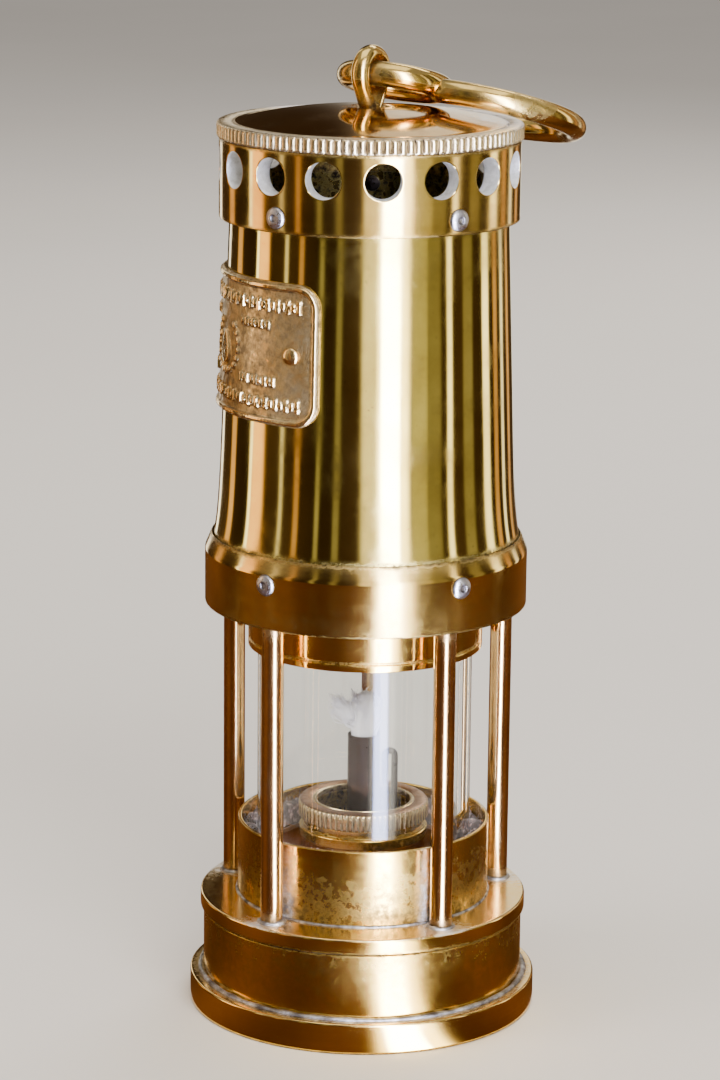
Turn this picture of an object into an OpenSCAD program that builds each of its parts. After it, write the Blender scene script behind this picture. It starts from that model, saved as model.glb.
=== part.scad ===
// Miner's flame safety lamp: oil vessel, five-pillar frame with a glass, bonnet over
// two gauzes, ring of vent holes, knurled lid and a carrying hook.
// Z is the lamp's axis and the foot stands on z = 0. All sizes are in millimetres.

/* [Vessel] */
// Radius of the foot ring
foot_r = 45; // [44:0.5:48]
// Height of the foot ring
foot_h = 8; // [6:0.5:8.5]
// Radius of the oil vessel
vessel_r = 41.5; // [40.5:0.5:41.5]
// Height of the top of the vessel shell
vessel_top = 25; // [24:0.5:25]

/* [Frame] */
// Radius of the plate under the pillars
plate_r = 42.3; // [42:0.1:44]
// Radius of one pillar
pillar_r = 2.8; // [2:0.1:2.8]
// Radius of the circle that the pillars stand on
pillar_pitch = 36.55; // [36:0.05:36.8]
// Height of the underside of the shoulder ring
shoulder_z = 107.2; // [106:0.1:108]
// Radius of the shoulder ring
shoulder_r = 41.2; // [41:0.1:42]

/* [Glass] */
// Outer radius of the glass chimney
glass_r = 27.6; // [27:0.1:27.8]
// Wall of the glass chimney
glass_wall = 3; // [2:0.5:4]

/* [Bonnet] */
// Wall of the bonnet sheet
bonnet_wall = 0.9; // [0.6:0.1:1]
// Outer radius of the vent ring
vent_r = 37.8; // [37.5:0.1:38.2]
// Number of vent holes
vent_count = 16; // [8:1:18]
// Radius of one vent hole
vent_hole_r = 4.6; // [3:0.1:4.6]
// Angle that the badge spans round the bonnet, in degrees
badge_span = 104; // [60:1:110]
// Height of the badge
badge_h = 35.3; // [25:0.1:36]

/* [Lid and hook] */
// Outer radius of the knurled lid
lid_r = 38.45; // [38:0.05:39]
// Rise of the polished dome above the lid's rim
dome_rise = 3.8; // [3:0.1:4]
// Radius of the centreline of the hook's closed ring
hook_ring_r = 11.8; // [11.7:0.1:11.9]
// Radius of the closed ring's bar
hook_ring_bar = 3.2; // [3:0.1:3.2]
// Radius of the centreline of the hook's open arc
arc_r = 22; // [21.8:0.1:22.2]
// Radius of the open arc's bar
arc_bar = 3.1; // [2.9:0.1:3.1]

/* [Burner] */
// Radius of the wick tube
wick_tube_r = 4.25; // [4:0.05:4.3]
// Height of the mouth of the wick tube
wick_tube_top = 71.5; // [68:0.5:74]
// Radius of the knurled nut
nut_r = 16.86; // [16:0.02:17.5]
// Distance of the pricker's rod from the lamp's axis
pricker_x = 8; // [7.9:0.1:8.2]

/* [Hidden] */
$fn = 96;
gap = 0.05;                 // play between fixed neighbours
fit = 0.1;                  // play of turned parts that slide into each other

wall = 1.2;                 // vessel sheet
floor_z = 9;                // underside of the vessel floor
deck_z = vessel_top - 1.5;  // underside of the deck
seal_z = vessel_top + gap;
seal_h = 0.35;
plate_z = seal_z + seal_h + gap;
plate_top = 29.5;
thread_r = 34.9;            // male thread of the vessel, taken as plain

cup_r = 32.6;
cup_top = 49.4;
seat_top = 40;
glass_z = 41.3;
glass_top = 100;
collar_r = 30.1;
collar_z = 95.65;
collar_top = 109;
web_z = 101.4;              // web of the collar that presses on the glass
web_top = 102.8;

shoulder_top = 125.2;
shoulder_bore = 39.3;
rivet_head_r = 2.8;
rivet_shank_r = 1.6;
rivet_turn = 2;             // degrees the rivets sit past the middle of each bay
shoulder_rivet_z = 118.7;
vent_rivet_z = 209.8;

vent_z = 206.05;
vent_step = 213;            // where the vent ring's skirt ends and its thick wall starts
vent_top = 226.15;
vent_bore = 32.8;
vent_skirt_bore = 35.3;
vent_hole_z = 219.7;
vent_turn = 8;              // degrees of the first vent hole

bonnet_z = 110;
bonnet_top = 212.8;
badge_turn = -68;
badge_z = 176.05;
badge_corner = 5.5;
badge_thick = 0.8;
badge_border = 2;
badge_relief = 0.7;

lid_top = 230;
dome_r = 33.3;
boss_z = 228.5;
eye_z = 242;                // height of the eye's centre
eye_in = 4.6;               // inside radius of the eye's loop
eye_half_w = 2.4;           // half the strip's width, and its thickness
eye_turn = -30;             // the hook's bar leaves the eye in this direction
leg_lean = 28;              // degrees the legs lean in towards each other
hook_tilt = 16;             // degrees the hook's ring dips towards its far side
arc_centre = [29.2, 19.8, 230.75];
arc_turn = 53.4;            // direction in which the open arc dips, from +X towards +Y
arc_tilt = 17.8;            // degrees it dips
arc_from = -183;            // the arc leaves the ring here
arc_to = 38;                // and its tip is here, past the edge of the lid

burner_z = 44.7;
neck_z = 47.5;
nut_z = 49.8;
nut_top = 54.3;
wick_r = 3.3;
pricker_r = 0.85;
pricker_reach = 2.55;       // from the pricker's rod to its hook
pricker_top = 67.9;
knob_z = 0.8;

// A point at radius r and angle a, measured from the front (-Y) towards +X
function around(a, r) = [r * sin(a), -r * cos(a)];

// Outside radius of the bonnet at height z: a straight taper that flares at the shoulder
function bonnet_r(z) = z < 124.2 ? 39.2
    : 35.2 + 0.0345 * (206 - z) + 1.16 * exp(-(z - 124.2) / 6.4);

// Height of the lid's dome at radius r
function dome_z(r) = lid_top + dome_rise * (1 - pow(r / dome_r, 2));

module turn_to(a) rotate([0, 0, a - 90]) children();

module washer(r_in, r_out, z, h) {
    translate([0, 0, z]) difference() {
        cylinder(r = r_out, h = h);
        translate([0, 0, -1]) cylinder(r = r_in, h = h + 2);
    }
}

// ---- vessel ----

module foot_ring() color("darkgoldenrod") rotate_extrude() polygon([
    [foot_r - 7, 0], [foot_r - 0.5, 0], [foot_r, 0.5], [foot_r, foot_h - 0.8],
    [foot_r - 0.8, foot_h], [vessel_r + gap, foot_h], [vessel_r + gap, 2], [foot_r - 7, 2]
]);

module vessel_shell() color("goldenrod")
    washer(vessel_r - wall, vessel_r, 2 + gap, vessel_top - 2 - gap);

module vessel_floor() color("darkgoldenrod") difference() {
    union() {
        translate([0, 0, floor_z]) cylinder(r = vessel_r - wall - gap, h = 1.2);
        translate([-22, 0, floor_z]) cylinder(r = 9, h = 3.2);
    }
    translate([-22, 0, floor_z - 1]) cylinder(r = 6 + gap, h = 6);
    translate([pricker_x, 0, floor_z - 1]) cylinder(r = 2.25, h = 4);
}

module vessel_deck() color("darkgoldenrod") rotate_extrude() polygon([
    [16.1, deck_z], [vessel_r - wall - gap, deck_z], [vessel_r - wall - gap, vessel_top],
    [thread_r, vessel_top], [thread_r, plate_top - 1.2], [thread_r - 2.4, plate_top - 1.2],
    [thread_r - 2.4, vessel_top], [16.1, vessel_top]
]);

module vessel_neck() color("darkgoldenrod")
    washer(13, 16, deck_z - 2, burner_z - deck_z + 2 - gap);

module filler_plug() color("darkgoldenrod") translate([-22, 0, 0]) rotate_extrude() polygon([
    [0, 1.9], [7.6, 1.9], [8, 2.3], [8, 7.6], [6, 7.6], [6, 12.5], [5.4, 13.1],
    [0, 13.1]
]);

module filler_washer() color("saddlebrown") translate([-22, 0, 0])
    washer(6 + gap, 8, 7.7, floor_z - 7.7 - gap);

module vessel_seal() color("black")
    washer(thread_r + fit, vessel_r - 0.5, seal_z, seal_h);

module burner_base() color("goldenrod") rotate_extrude() polygon([
    [12.6, burner_z], [16.2, burner_z], [16.7, burner_z + 0.5], [16.7, neck_z - 0.3],
    [16.4, neck_z], [15.5, neck_z], [15.5, nut_z - 0.15], [13.8, nut_z - 0.15],
    [13.8, 52.6], [12.6, 52.6]
]);

module burner_washer() color("saddlebrown") washer(12.6, 13.8, 52.65, 0.4);

module burner_nut() color("goldenrod") rotate_extrude() polygon([
    [13.9, nut_z], [nut_r - 0.3, nut_z], [nut_r, nut_z + 0.3], [nut_r, nut_top - 0.5],
    [nut_r - 0.5, nut_top], [12.5, nut_top], [12.1, nut_top - 0.4], [12.1, 53.1],
    [13.9, 53.1]
]);

module wick_plate() color("gray") difference() {
    translate([0, 0, 45.5]) cylinder(r = 12.55, h = 1.2);
    translate([0, 0, 45]) cylinder(r = wick_tube_r + gap, h = 3);
    translate([pricker_x, 0, 45]) cylinder(r = pricker_r + 0.1, h = 3);
}

module wick_tube() color("slategray")
    washer(wick_tube_r - 0.7, wick_tube_r, 30, wick_tube_top - 30);

// The wick fills the tube and opens into a frayed tuft above it
module wick() color("white") {
    translate([0, 0, 14]) cylinder(r = wick_r, h = 57.5);
    translate([0, 0, 71.5]) cylinder(r1 = wick_r, r2 = 4.6, h = 5);
    translate([0, 0, 76.5]) cylinder(r1 = 4.6, r2 = 4.2, h = 4);
    translate([0, 0, 80.5]) cylinder(r1 = 4.2, r2 = 2, h = 3.5);
    translate([-4, 0, 78]) rotate([0, -58, 0]) cylinder(r1 = 3, r2 = 1.2, h = 6.5);
}

module pricker_guide() color("darkgoldenrod") translate([pricker_x, 0, 0])
    washer(pricker_r + 0.1, 2.2, floor_z + 0.1, 45.4 - floor_z);

module pricker_packing() color("darkgoldenrod") translate([pricker_x, 0, 0])
    washer(pricker_r + 0.1, 3.6, 7.4, floor_z - 7.4 - gap);

module pricker_washer() color("saddlebrown") translate([pricker_x, 0, 0])
    washer(pricker_r + 0.1, 3.4, knob_z + 2 + gap, 0.6);

// A rod that comes up beside the wick tube and hooks over, with its point down
module pricker() color("lightgray") {
    bend = pricker_reach / 2;
    bend_z = pricker_top - bend - pricker_r;
    translate([pricker_x, 0, knob_z + 0.4]) cylinder(r = pricker_r, h = bend_z - knob_z - 0.4);
    translate([pricker_x - bend, 0, bend_z]) rotate([90, 0, 0])
        rotate_extrude(angle = 180) translate([bend, 0]) circle(r = pricker_r, $fn = 32);
    translate([pricker_x - pricker_reach, 0, 59]) cylinder(r = pricker_r, h = bend_z - 59);
    translate([pricker_x - pricker_reach, 0, 57.5])
        cylinder(r1 = 0.25, r2 = pricker_r, h = 1.5);
}

module pricker_knob() color("darkgoldenrod") translate([pricker_x, 0, 0]) difference() {
    translate([0, 0, knob_z]) cylinder(r = 4.2, h = 2);
    translate([0, 0, knob_z + 0.35]) cylinder(r = pricker_r, h = 3);
}

// ---- frame ----

module pillar_plate() color("goldenrod") rotate_extrude() polygon([
    [thread_r + fit, plate_z], [plate_r, plate_z], [plate_r, plate_top - 0.7],
    [plate_r - 0.7, plate_top], [24, plate_top], [24, plate_top - 0.9],
    [thread_r + fit, plate_top - 0.9]
]);

module glass_cup() color("goldenrod") rotate_extrude() polygon([
    [24, plate_top], [cup_r, plate_top], [cup_r, cup_top - 0.3], [cup_r - 0.3, cup_top],
    [cup_r - 1, cup_top], [cup_r - 1, plate_top + 1.2], [24, plate_top + 1.2]
]);

module glass_seat() color("darkgoldenrod") rotate_extrude() polygon([
    [25.2, plate_top + 1.25], [26.8, plate_top + 1.25], [26.8, seat_top - 1.5],
    [cup_r - 1.05, seat_top - 1.5], [cup_r - 1.05, seat_top], [25.2, seat_top]
]);

module cup_packing() color("mistyrose")
    washer(glass_r + 0.15, cup_r - 1.1, seat_top + gap, 8.4);

module pillar(n) color("goldenrod") {
    p = around(36 + 72 * (n - 1), pillar_pitch);
    translate([p[0], p[1], plate_top]) cylinder(r = pillar_r, h = shoulder_z - plate_top);
}

// Holes for a ring of five rivets at height z
module rivet_holes(z) for (i = [0:4]) turn_to(36 + 72 * i + rivet_turn)
    translate([30, 0, z]) rotate([0, 90, 0]) cylinder(r = rivet_shank_r + gap, h = 20, $fn = 32);

// Five pop rivets whose heads sit on radius r, with tails behind radius r_in
module rivets(r, r_in, z) color("silver") for (i = [0:4]) turn_to(36 + 72 * i + rivet_turn)
    translate([r, 0, z]) rotate([0, 90, 0]) rotate_extrude($fn = 48) polygon([
        [0, 0.75], [0.75, 0.75], [0.75, 1.1], [1.6, 1], [2.4, 0.65], [rivet_head_r, 0.03],
        [rivet_shank_r, 0.03], [rivet_shank_r, r_in - r], [2.2, r_in - r],
        [2, r_in - r - 1], [0, r_in - r - 1.2]
    ]);

module shoulder_ring() color("goldenrod") difference() {
    rotate_extrude() polygon([
        [collar_r + fit, shoulder_z], [shoulder_r - 0.5, shoulder_z],
        [shoulder_r, shoulder_z + 0.5], [shoulder_r, 121.3], [39.75, 124.9],
        [39.5, shoulder_top], [shoulder_bore, shoulder_top], [shoulder_bore, collar_top],
        [collar_r + fit, collar_top]
    ]);
    rivet_holes(shoulder_rivet_z);
}

module shoulder_rivets()
    rivets(shoulder_r + 0.02, bonnet_r(120) - bonnet_wall - 0.15, shoulder_rivet_z);

module lower_glass_washer() color("saddlebrown") washer(25.2, 27.4, seat_top + gap, 1.15);

module glass_chimney() color("lightcyan", 0.4) rotate_extrude() polygon([
    [glass_r - glass_wall, glass_z], [glass_r - 0.4, glass_z], [glass_r, glass_z + 0.4],
    [glass_r, glass_top - 0.4], [glass_r - 0.4, glass_top], [glass_r - glass_wall, glass_top]
]);

module upper_glass_washer() color("saddlebrown")
    washer(24.8, 27.4, glass_top + gap, web_z - glass_top - 2 * gap);

module glass_collar() color("gold") rotate_extrude() polygon([
    [glass_r + 0.3, collar_z], [collar_r - 0.2, collar_z], [collar_r, collar_z + 0.2],
    [collar_r, 97.5], [collar_r - 0.3, 97.6], [collar_r - 0.3, 97.9], [collar_r, 98],
    [collar_r, collar_top + 1], [glass_r + 0.3, collar_top + 1], [glass_r + 0.3, web_top],
    [23.5, web_top], [23.5, web_z], [glass_r + 0.3, web_z]
]);

module gauze_flange() color("darkgoldenrod") washer(18, 27.8, web_top + gap, 1.5);

// A gauze: a closed-top tapering tube of mesh on a flat foot
module gauze(r_foot, r_base, r_top, z, h) color("dimgray") rotate_extrude() polygon([
    [r_base - 0.5, z], [r_foot, z], [r_foot, z + 0.5], [r_base, z + 0.5],
    [r_top, z + h - 0.5], [r_top - 0.5, z + h], [0, z + h], [0, z + h - 0.5],
    [r_top - 0.6, z + h - 0.5]
]);

module inner_gauze() gauze(20.2, 18.6, 15.5, 104.45, 66);
module outer_gauze() gauze(26, 21.2, 18.5, 104.45, 80);

module bonnet() color("khaki") difference() {
    steps = 30;
    heights = [for (i = [0:steps]) 124.2 + (bonnet_top - 124.2) * pow(i / steps, 1.6)];
    rotate_extrude() polygon(concat(
        [[39.2, bonnet_z]], [for (z = heights) [bonnet_r(z), z]],
        [for (i = [steps:-1:0]) [bonnet_r(heights[i]) - bonnet_wall, heights[i]]],
        [[39.2 - bonnet_wall, bonnet_z]]
    ));
    rivet_holes(shoulder_rivet_z);
    rivet_holes(vent_rivet_z);
}

module rounded_plate(w, h, r) {
    square([w - 2 * r, h], center = true);
    square([w, h - 2 * r], center = true);
    for (x = [-1, 1], y = [-1, 1])
        translate([x * (w / 2 - r), y * (h / 2 - r)]) circle(r = r, $fn = 48);
}

// A conical skin that follows the bonnet, from lift to lift + t off its surface
module bonnet_skin(lift, t) {
    z0 = badge_z - badge_h / 2 - 1;
    z1 = badge_z + badge_h / 2 + 1;
    rotate_extrude() polygon([
        [bonnet_r(z0) + lift, z0], [bonnet_r(z0) + lift + t, z0],
        [bonnet_r(z1) + lift + t, z1], [bonnet_r(z1) + lift, z1]
    ]);
}

module badge_cut(inset) turn_to(badge_turn) translate([0, 0, badge_z])
    rotate([90, 0, 90]) linear_extrude(50)
        rounded_plate(2 * 36 * sin(badge_span / 2) - 2 * inset, badge_h - 2 * inset,
            badge_corner - inset);

module badge_plate() color("gold") difference() {
    intersection() {
        bonnet_skin(0.12, badge_thick + badge_relief);
        badge_cut(0);
    }
    intersection() {
        bonnet_skin(0.12 + badge_thick, badge_relief + 2);
        badge_cut(badge_border);
    }
}

module badge_screws() color("darkgoldenrod") for (side = [-1, 1])
    turn_to(badge_turn + side * 40.6)
        translate([bonnet_r(badge_z) + 1.02, 0, badge_z]) rotate([0, 90, 0])
            rotate_extrude($fn = 48) polygon([
                [0, 0], [2.2, 0], [2.2, 0.5], [1.6, 0.95], [0.8, 1.2], [0, 1.25]
            ]);

module vent_ring() color("goldenrod") difference() {
    rotate_extrude() polygon([
        [vent_skirt_bore, vent_z], [vent_r - 0.3, vent_z], [vent_r, vent_z + 0.3],
        [vent_r, vent_top - 0.2], [vent_r - 0.2, vent_top], [vent_bore, vent_top],
        [vent_bore, vent_step], [vent_skirt_bore, vent_step]
    ]);
    rivet_holes(vent_rivet_z);
    for (i = [0:vent_count - 1]) turn_to(vent_turn + 360 / vent_count * i)
        translate([30, 0, vent_hole_z]) rotate([0, 90, 0]) cylinder(r = vent_hole_r, h = 20);
}

module vent_rivets()
    rivets(vent_r + 0.02, bonnet_r(vent_rivet_z) - bonnet_wall - 0.15, vent_rivet_z);

// ---- lid and hook ----

module lid() color("goldenrod") difference() {
    steps = 16;
    rotate_extrude() polygon(concat(
        [for (i = [0:steps]) [dome_r * i / steps, dome_z(dome_r * i / steps)]],
        [[lid_r - 0.5, lid_top], [lid_r, lid_top - 0.5], [lid_r, vent_top + 0.45],
         [lid_r - 0.4, vent_top + 0.05], [vent_bore - fit, vent_top + 0.05],
         [vent_bore - fit, vent_top - 1.5], [30.6, vent_top - 1.5], [30.6, 228],
         [20, 230.2], [6.5, 231.8], [6, boss_z], [0, boss_z]]
    ));
    translate([0, 0, boss_z - 1]) cylinder(r = eye_half_w + gap, h = 8);
    translate([0, 0, 231.5]) cylinder(r = 4.1, h = 5);
}

module eye_washer() color("darkgoldenrod") washer(eye_half_w + gap, 5.6, 227.95, 0.5);

// Half-round section of the eye's strip, flat side on x = 0
module half_round() intersection() {
    circle(r = eye_half_w, $fn = 64);
    translate([0, -5]) square([5, 10]);
}

// A split pin: the strip loops round and its two halves close into one round shank
module eye() color("darkgoldenrod") {
    leg_top = eye_z - eye_in * sin(leg_lean);
    leg_x = eye_in * cos(leg_lean);
    rotate([0, 0, eye_turn + 90]) {
        translate([0, 0, eye_z]) rotate([90, 0, 0]) rotate([0, 0, -leg_lean])
            rotate_extrude(angle = 180 + 2 * leg_lean) translate([eye_in, 0]) half_round();
        for (side = [0, 180]) rotate([0, 0, side]) translate([leg_x, 0, leg_top])
            rotate([0, leg_lean, 0]) translate([0, 0, 0.4]) rotate([180, 0, 0])
                linear_extrude(7.6) half_round();
    }
    translate([0, 0, 227.5]) cylinder(r = eye_half_w, h = 6.9);
    translate([0, 0, 226.9]) cylinder(r = 3.4, h = 0.95);
}

// The hook's closed ring, which hangs in the eye
module hook_ring() color("goldenrod") rotate([0, 0, eye_turn + 90]) translate([0, 0, eye_z])
    rotate([0, hook_tilt, 0]) translate([hook_ring_r, 0, 0]) rotate_extrude()
        translate([hook_ring_r, 0]) circle(r = hook_ring_bar, $fn = 48);

// The hook's open arc, brazed to the ring: it lies over the edge of the lid
module hook_arc() color("goldenrod") translate(arc_centre) rotate([0, 0, arc_turn])
    rotate([0, arc_tilt, 0]) rotate([0, 0, arc_from])
        rotate_extrude(angle = arc_to - arc_from) translate([arc_r, 0])
            circle(r = arc_bar, $fn = 48);

foot_ring();
vessel_shell();
vessel_floor();
vessel_deck();
vessel_neck();
filler_plug();
filler_washer();
burner_base();
burner_washer();
burner_nut();
wick_plate();
wick_tube();
wick();
pricker_guide();
pricker_packing();
pricker_washer();
pricker();
pricker_knob();
vessel_seal();
pillar_plate();
glass_cup();
glass_seat();
cup_packing();
pillar(1);  // pillar_1
pillar(2);  // pillar_2
pillar(3);  // pillar_3
pillar(4);  // pillar_4
pillar(5);  // pillar_5
shoulder_ring();
shoulder_rivets();
lower_glass_washer();
glass_chimney();
upper_glass_washer();
glass_collar();
gauze_flange();
inner_gauze();
outer_gauze();
bonnet();
badge_plate();
badge_screws();
vent_ring();
vent_rivets();
lid();
eye_washer();
eye();
hook_ring();
hook_arc();
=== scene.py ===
from math import cos, pi, radians, sin

import bpy
import numpy as np
from mathutils import Matrix, Vector


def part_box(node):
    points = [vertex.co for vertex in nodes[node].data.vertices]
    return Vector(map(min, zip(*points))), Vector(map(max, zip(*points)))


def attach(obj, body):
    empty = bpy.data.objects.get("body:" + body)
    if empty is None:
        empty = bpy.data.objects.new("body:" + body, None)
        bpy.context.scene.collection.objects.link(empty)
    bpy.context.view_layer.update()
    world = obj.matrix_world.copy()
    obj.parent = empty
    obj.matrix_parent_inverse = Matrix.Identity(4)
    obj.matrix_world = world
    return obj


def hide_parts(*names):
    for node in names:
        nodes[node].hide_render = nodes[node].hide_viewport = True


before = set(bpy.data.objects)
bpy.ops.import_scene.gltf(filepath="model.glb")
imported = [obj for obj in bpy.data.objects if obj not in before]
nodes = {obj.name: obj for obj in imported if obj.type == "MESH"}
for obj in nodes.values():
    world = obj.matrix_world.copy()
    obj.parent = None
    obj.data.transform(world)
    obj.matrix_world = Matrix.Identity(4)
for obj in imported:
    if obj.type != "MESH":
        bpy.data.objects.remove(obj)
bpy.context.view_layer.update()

# A brass flame safety lamp. Sizes below are in millimetres and become metres in makePiece.
mm = 0.001
tau = 2 * pi


# Shapes are arrays of points and faces in millimetres.

def span(name):
    # lowest and highest corner of a CAD node, in millimetres
    low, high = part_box(name)
    return np.array(low) / mm, np.array(high) / mm


def extent(name):
    # a turned CAD node's radius, lowest and highest height, in millimetres
    low, high = span(name)
    return high[0], low[2], high[2]


def gridFaces(rows, cols, wrapRows=False, wrapCols=True):
    # quads between neighbouring rows and columns of a grid, counted row by row
    r = np.arange(rows if wrapRows else rows - 1)[:, None]
    c = np.arange(cols if wrapCols else cols - 1)[None, :]
    nextRow, nextCol = (r + 1) % rows, (c + 1) % cols
    corners = [r * cols + c, r * cols + nextCol, nextRow * cols + nextCol, nextRow * cols + c]
    return np.stack(corners, axis=-1).reshape(-1, 4)


def softened(profile, radius, closed=True, parts=4):
    # each corner p turns into the curve (1-t)^2 a + 2t(1-t) p + t^2 c between two cut points,
    # with one more point on either side that keeps the flats flat
    p = np.asarray(profile, float)
    back, ahead = np.roll(p, 1, 0) - p, np.roll(p, -1, 0) - p
    backLen = np.maximum(np.linalg.norm(back, axis=1), 1e-9)[:, None]
    aheadLen = np.maximum(np.linalg.norm(ahead, axis=1), 1e-9)[:, None]
    cutBack, cutAhead = np.minimum(radius, 0.3 * backLen), np.minimum(radius, 0.3 * aheadLen)
    if not closed:
        cutBack[[0, -1]] = cutAhead[[0, -1]] = 0
    a, c = p + back / backLen * cutBack, p + ahead / aheadLen * cutAhead
    t = np.linspace(0, 1, parts)[:, None, None]
    curve = (1 - t) ** 2 * a + 2 * t * (1 - t) * p + t ** 2 * c
    wide = np.concatenate([[a + back / backLen * cutBack * 0.5], curve,
                           [c + ahead / aheadLen * cutAhead * 0.5]])
    flat = wide.transpose(1, 0, 2).reshape(-1, 2)
    return flat if closed else flat[parts + 1:-(parts + 1)]


def turned(profile, steps=192, closed=True, wave=None):
    # x = r cos(angle), y = r sin(angle): the profile (r, z) carried once round the axis;
    # wave(r, z, angle) may change the radius, and an open profile ends on the axis
    profile = np.asarray(profile, float)
    rim = profile if closed else profile[1:-1]
    r, z = rim[:, 0][:, None], rim[:, 1][:, None]
    angle = np.arange(steps)[None, :] * tau / steps
    if wave:
        r = wave(r, z, angle)
    grid = np.stack(np.broadcast_arrays(r * np.cos(angle), r * np.sin(angle), z), axis=-1)
    points, rows = grid.reshape(-1, 3), len(rim)
    faces = [gridFaces(rows, steps, wrapRows=closed)]
    if not closed:
        a = np.arange(steps)
        b = (a + 1) % steps
        base = (rows - 1) * steps
        poles = [[0, 0, profile[0, 1]], [0, 0, profile[-1, 1]]]
        faces.append(np.stack([np.full(steps, len(points)), b, a], axis=1))
        faces.append(np.stack([np.full(steps, len(points) + 1), base + a, base + b], axis=1))
        points = np.concatenate([points, poles])
    return points, faces


def tubes(paths, radii, sides=12, side=(0, 0, 1), closed=False, section=None):
    # a ring of points round each path point: p + r (cos u n + sin u b), where n and b are
    # square to the path's direction; paths is (count, rows, 3) and radii fits (count, rows)
    paths = np.asarray(paths, float)
    count, rows = paths.shape[:2]
    if closed:
        along = np.roll(paths, -1, 1) - np.roll(paths, 1, 1)
    else:
        along = np.gradient(paths, axis=1)
    along /= np.maximum(np.linalg.norm(along, axis=-1, keepdims=True), 1e-9)
    n = np.cross(along, np.broadcast_to(np.asarray(side, float), paths.shape))
    n /= np.maximum(np.linalg.norm(n, axis=-1, keepdims=True), 1e-9)
    b = np.cross(along, n)
    u = np.arange(sides) * tau / sides
    out, over = (np.cos(u), np.sin(u)) if section is None else section
    sides = len(out)
    size = np.broadcast_to(np.asarray(radii, float), (count, rows))[:, :, None, None]
    ring = out[None, None, :, None] * n[:, :, None] + over[None, None, :, None] * b[:, :, None]
    points = (paths[:, :, None] + size * ring).reshape(-1, 3)
    first = np.arange(count)[:, None, None] * rows * sides
    quads = gridFaces(rows, sides, wrapRows=closed)[None] + first
    faces = [quads.reshape(-1, 4)]
    if not closed:
        caps = np.arange(sides)[None] + first[:, :, 0]
        faces += [caps[:, ::-1], caps + (rows - 1) * sides]
    return points, faces


def sleeve(inner, outer, low, high, edge, steps=192, parts=4):
    # a tube's wall: the rectangle from (inner, low) to (outer, high) carried round the axis
    corners = [(inner, low), (outer, low), (outer, high), (inner, high)]
    return turned(softened(corners, edge, parts=parts), steps)


def circle(radius, z, steps, middle=(0, 0)):
    # a path with x = radius cos(turn) + middle x, y = radius sin(turn) + middle y
    turnOf = np.arange(steps) * tau / steps
    return np.stack([radius * np.cos(turnOf) + middle[0], radius * np.sin(turnOf) + middle[1],
                     np.full(steps, float(z))], axis=1)


def joined(parts):
    # several shells as one list of points and faces
    points, faces, start = [], [], 0
    for shellPoints, shellFaces in parts:
        points.append(shellPoints)
        faces += [f + start for f in shellFaces]
        start += len(shellPoints)
    return np.concatenate(points), faces


def ripple(p, size, seed, waves=14):
    # smooth noise between about -1 and 1: a sum of sine waves in random directions
    rng = np.random.default_rng(seed)
    k = rng.normal(size=(waves, 3)) * tau / size * 0.55
    phase = rng.uniform(0, tau, waves)
    return np.sin(p @ k.T + phase).sum(axis=-1) / np.sqrt(waves) * 0.8


def fromAxis(points):
    # distance of each point from the lamp's axis: the root of x^2 + y^2
    return np.hypot(points[:, 0], points[:, 1])


def bell(x, width):
    # 1 at zero, fading to both sides: exp(-(x / width)^2)
    return np.exp(-(x / width) ** 2)


def nearJoints(points, joints):
    # 1 on each joint line (r, z, reach) and fading as exp(-(distance / reach)^2)
    r = fromAxis(points)[:, None]
    z = points[:, 2][:, None]
    jr, jz, reach = np.array(joints, float).T
    return np.exp(-((r - jr) ** 2 + (z - jz) ** 2) / reach ** 2).max(axis=1)


def makePiece(name, shape, material, body, replaces=(), grimeAndShade=None, sharp=50,
              haze_and_sheen=None, second=None):
    # puts the arrays into a mesh with its place in it, and gives the piece to its body;
    # second is (material, test), for the faces whose centres pass the test
    points, faces = shape
    mesh = bpy.data.meshes.new(name)
    mesh.from_pydata((points * mm).tolist(), [], [f for part in faces for f in part.tolist()])
    mesh.polygons.foreach_set("use_smooth", np.ones(len(mesh.polygons), bool))
    mesh.set_sharp_from_angle(angle=radians(sharp))
    # the first mask darkens the finish (grime and painted shade), the second lays a pale film (haze
    # and painted sheen)
    for label, mask in (("grime_and_shade", grimeAndShade), ("haze_and_sheen", haze_and_sheen)):
        values = np.zeros(len(points)) if mask is None else np.asarray(mask, float)
        mesh.attributes.new(label, "FLOAT", "POINT").data.foreach_set("value", values)
    mesh.materials.append(finish[material])
    if second:
        mesh.materials.append(finish[second[0]])
        centres = np.concatenate([points[part].mean(axis=1) for part in faces])
        mesh.polygons.foreach_set("material_index", second[1](centres).astype(np.int32))
    mesh.update()
    piece = bpy.data.objects.new(name, mesh)
    bpy.context.scene.collection.objects.link(piece)
    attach(piece, body)
    if replaces:
        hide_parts(*replaces)
    return piece


cameraView = {"lens": 122.4, "distance": 0.91439, "height": 0.33982, "turn": 2.98,
              "yaw": -0.001719, "pitch": 0.2331914, "roll": 0.010285}
yaw, pitch, roll = (cameraView[key] for key in ("yaw", "pitch", "roll"))
forward = Vector((sin(yaw) * cos(pitch), cos(yaw) * cos(pitch), -sin(pitch)))
level = Vector((cos(yaw), -sin(yaw), 0))
upward = level.cross(forward)
right = level * cos(roll) + upward * sin(roll)
top = upward * cos(roll) - level * sin(roll)
eyePoint = Vector((0, -cameraView["distance"], cameraView["height"]))
camera = bpy.data.objects.new("camera", bpy.data.cameras.new("camera"))
camera.data.lens = cameraView["lens"]
camera.data.sensor_width = 36
camera.data.clip_start = 0.01
stand = Matrix((right, top, -forward)).transposed().to_4x4()
stand.translation = eyePoint
camera.matrix_world = Matrix.Rotation(radians(cameraView["turn"]), 4, "Z") @ stand
bpy.context.scene.collection.objects.link(camera)
bpy.context.scene.camera = camera
print("camera placed")


# Materials: each helper adds one node and hands back its output.

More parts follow.
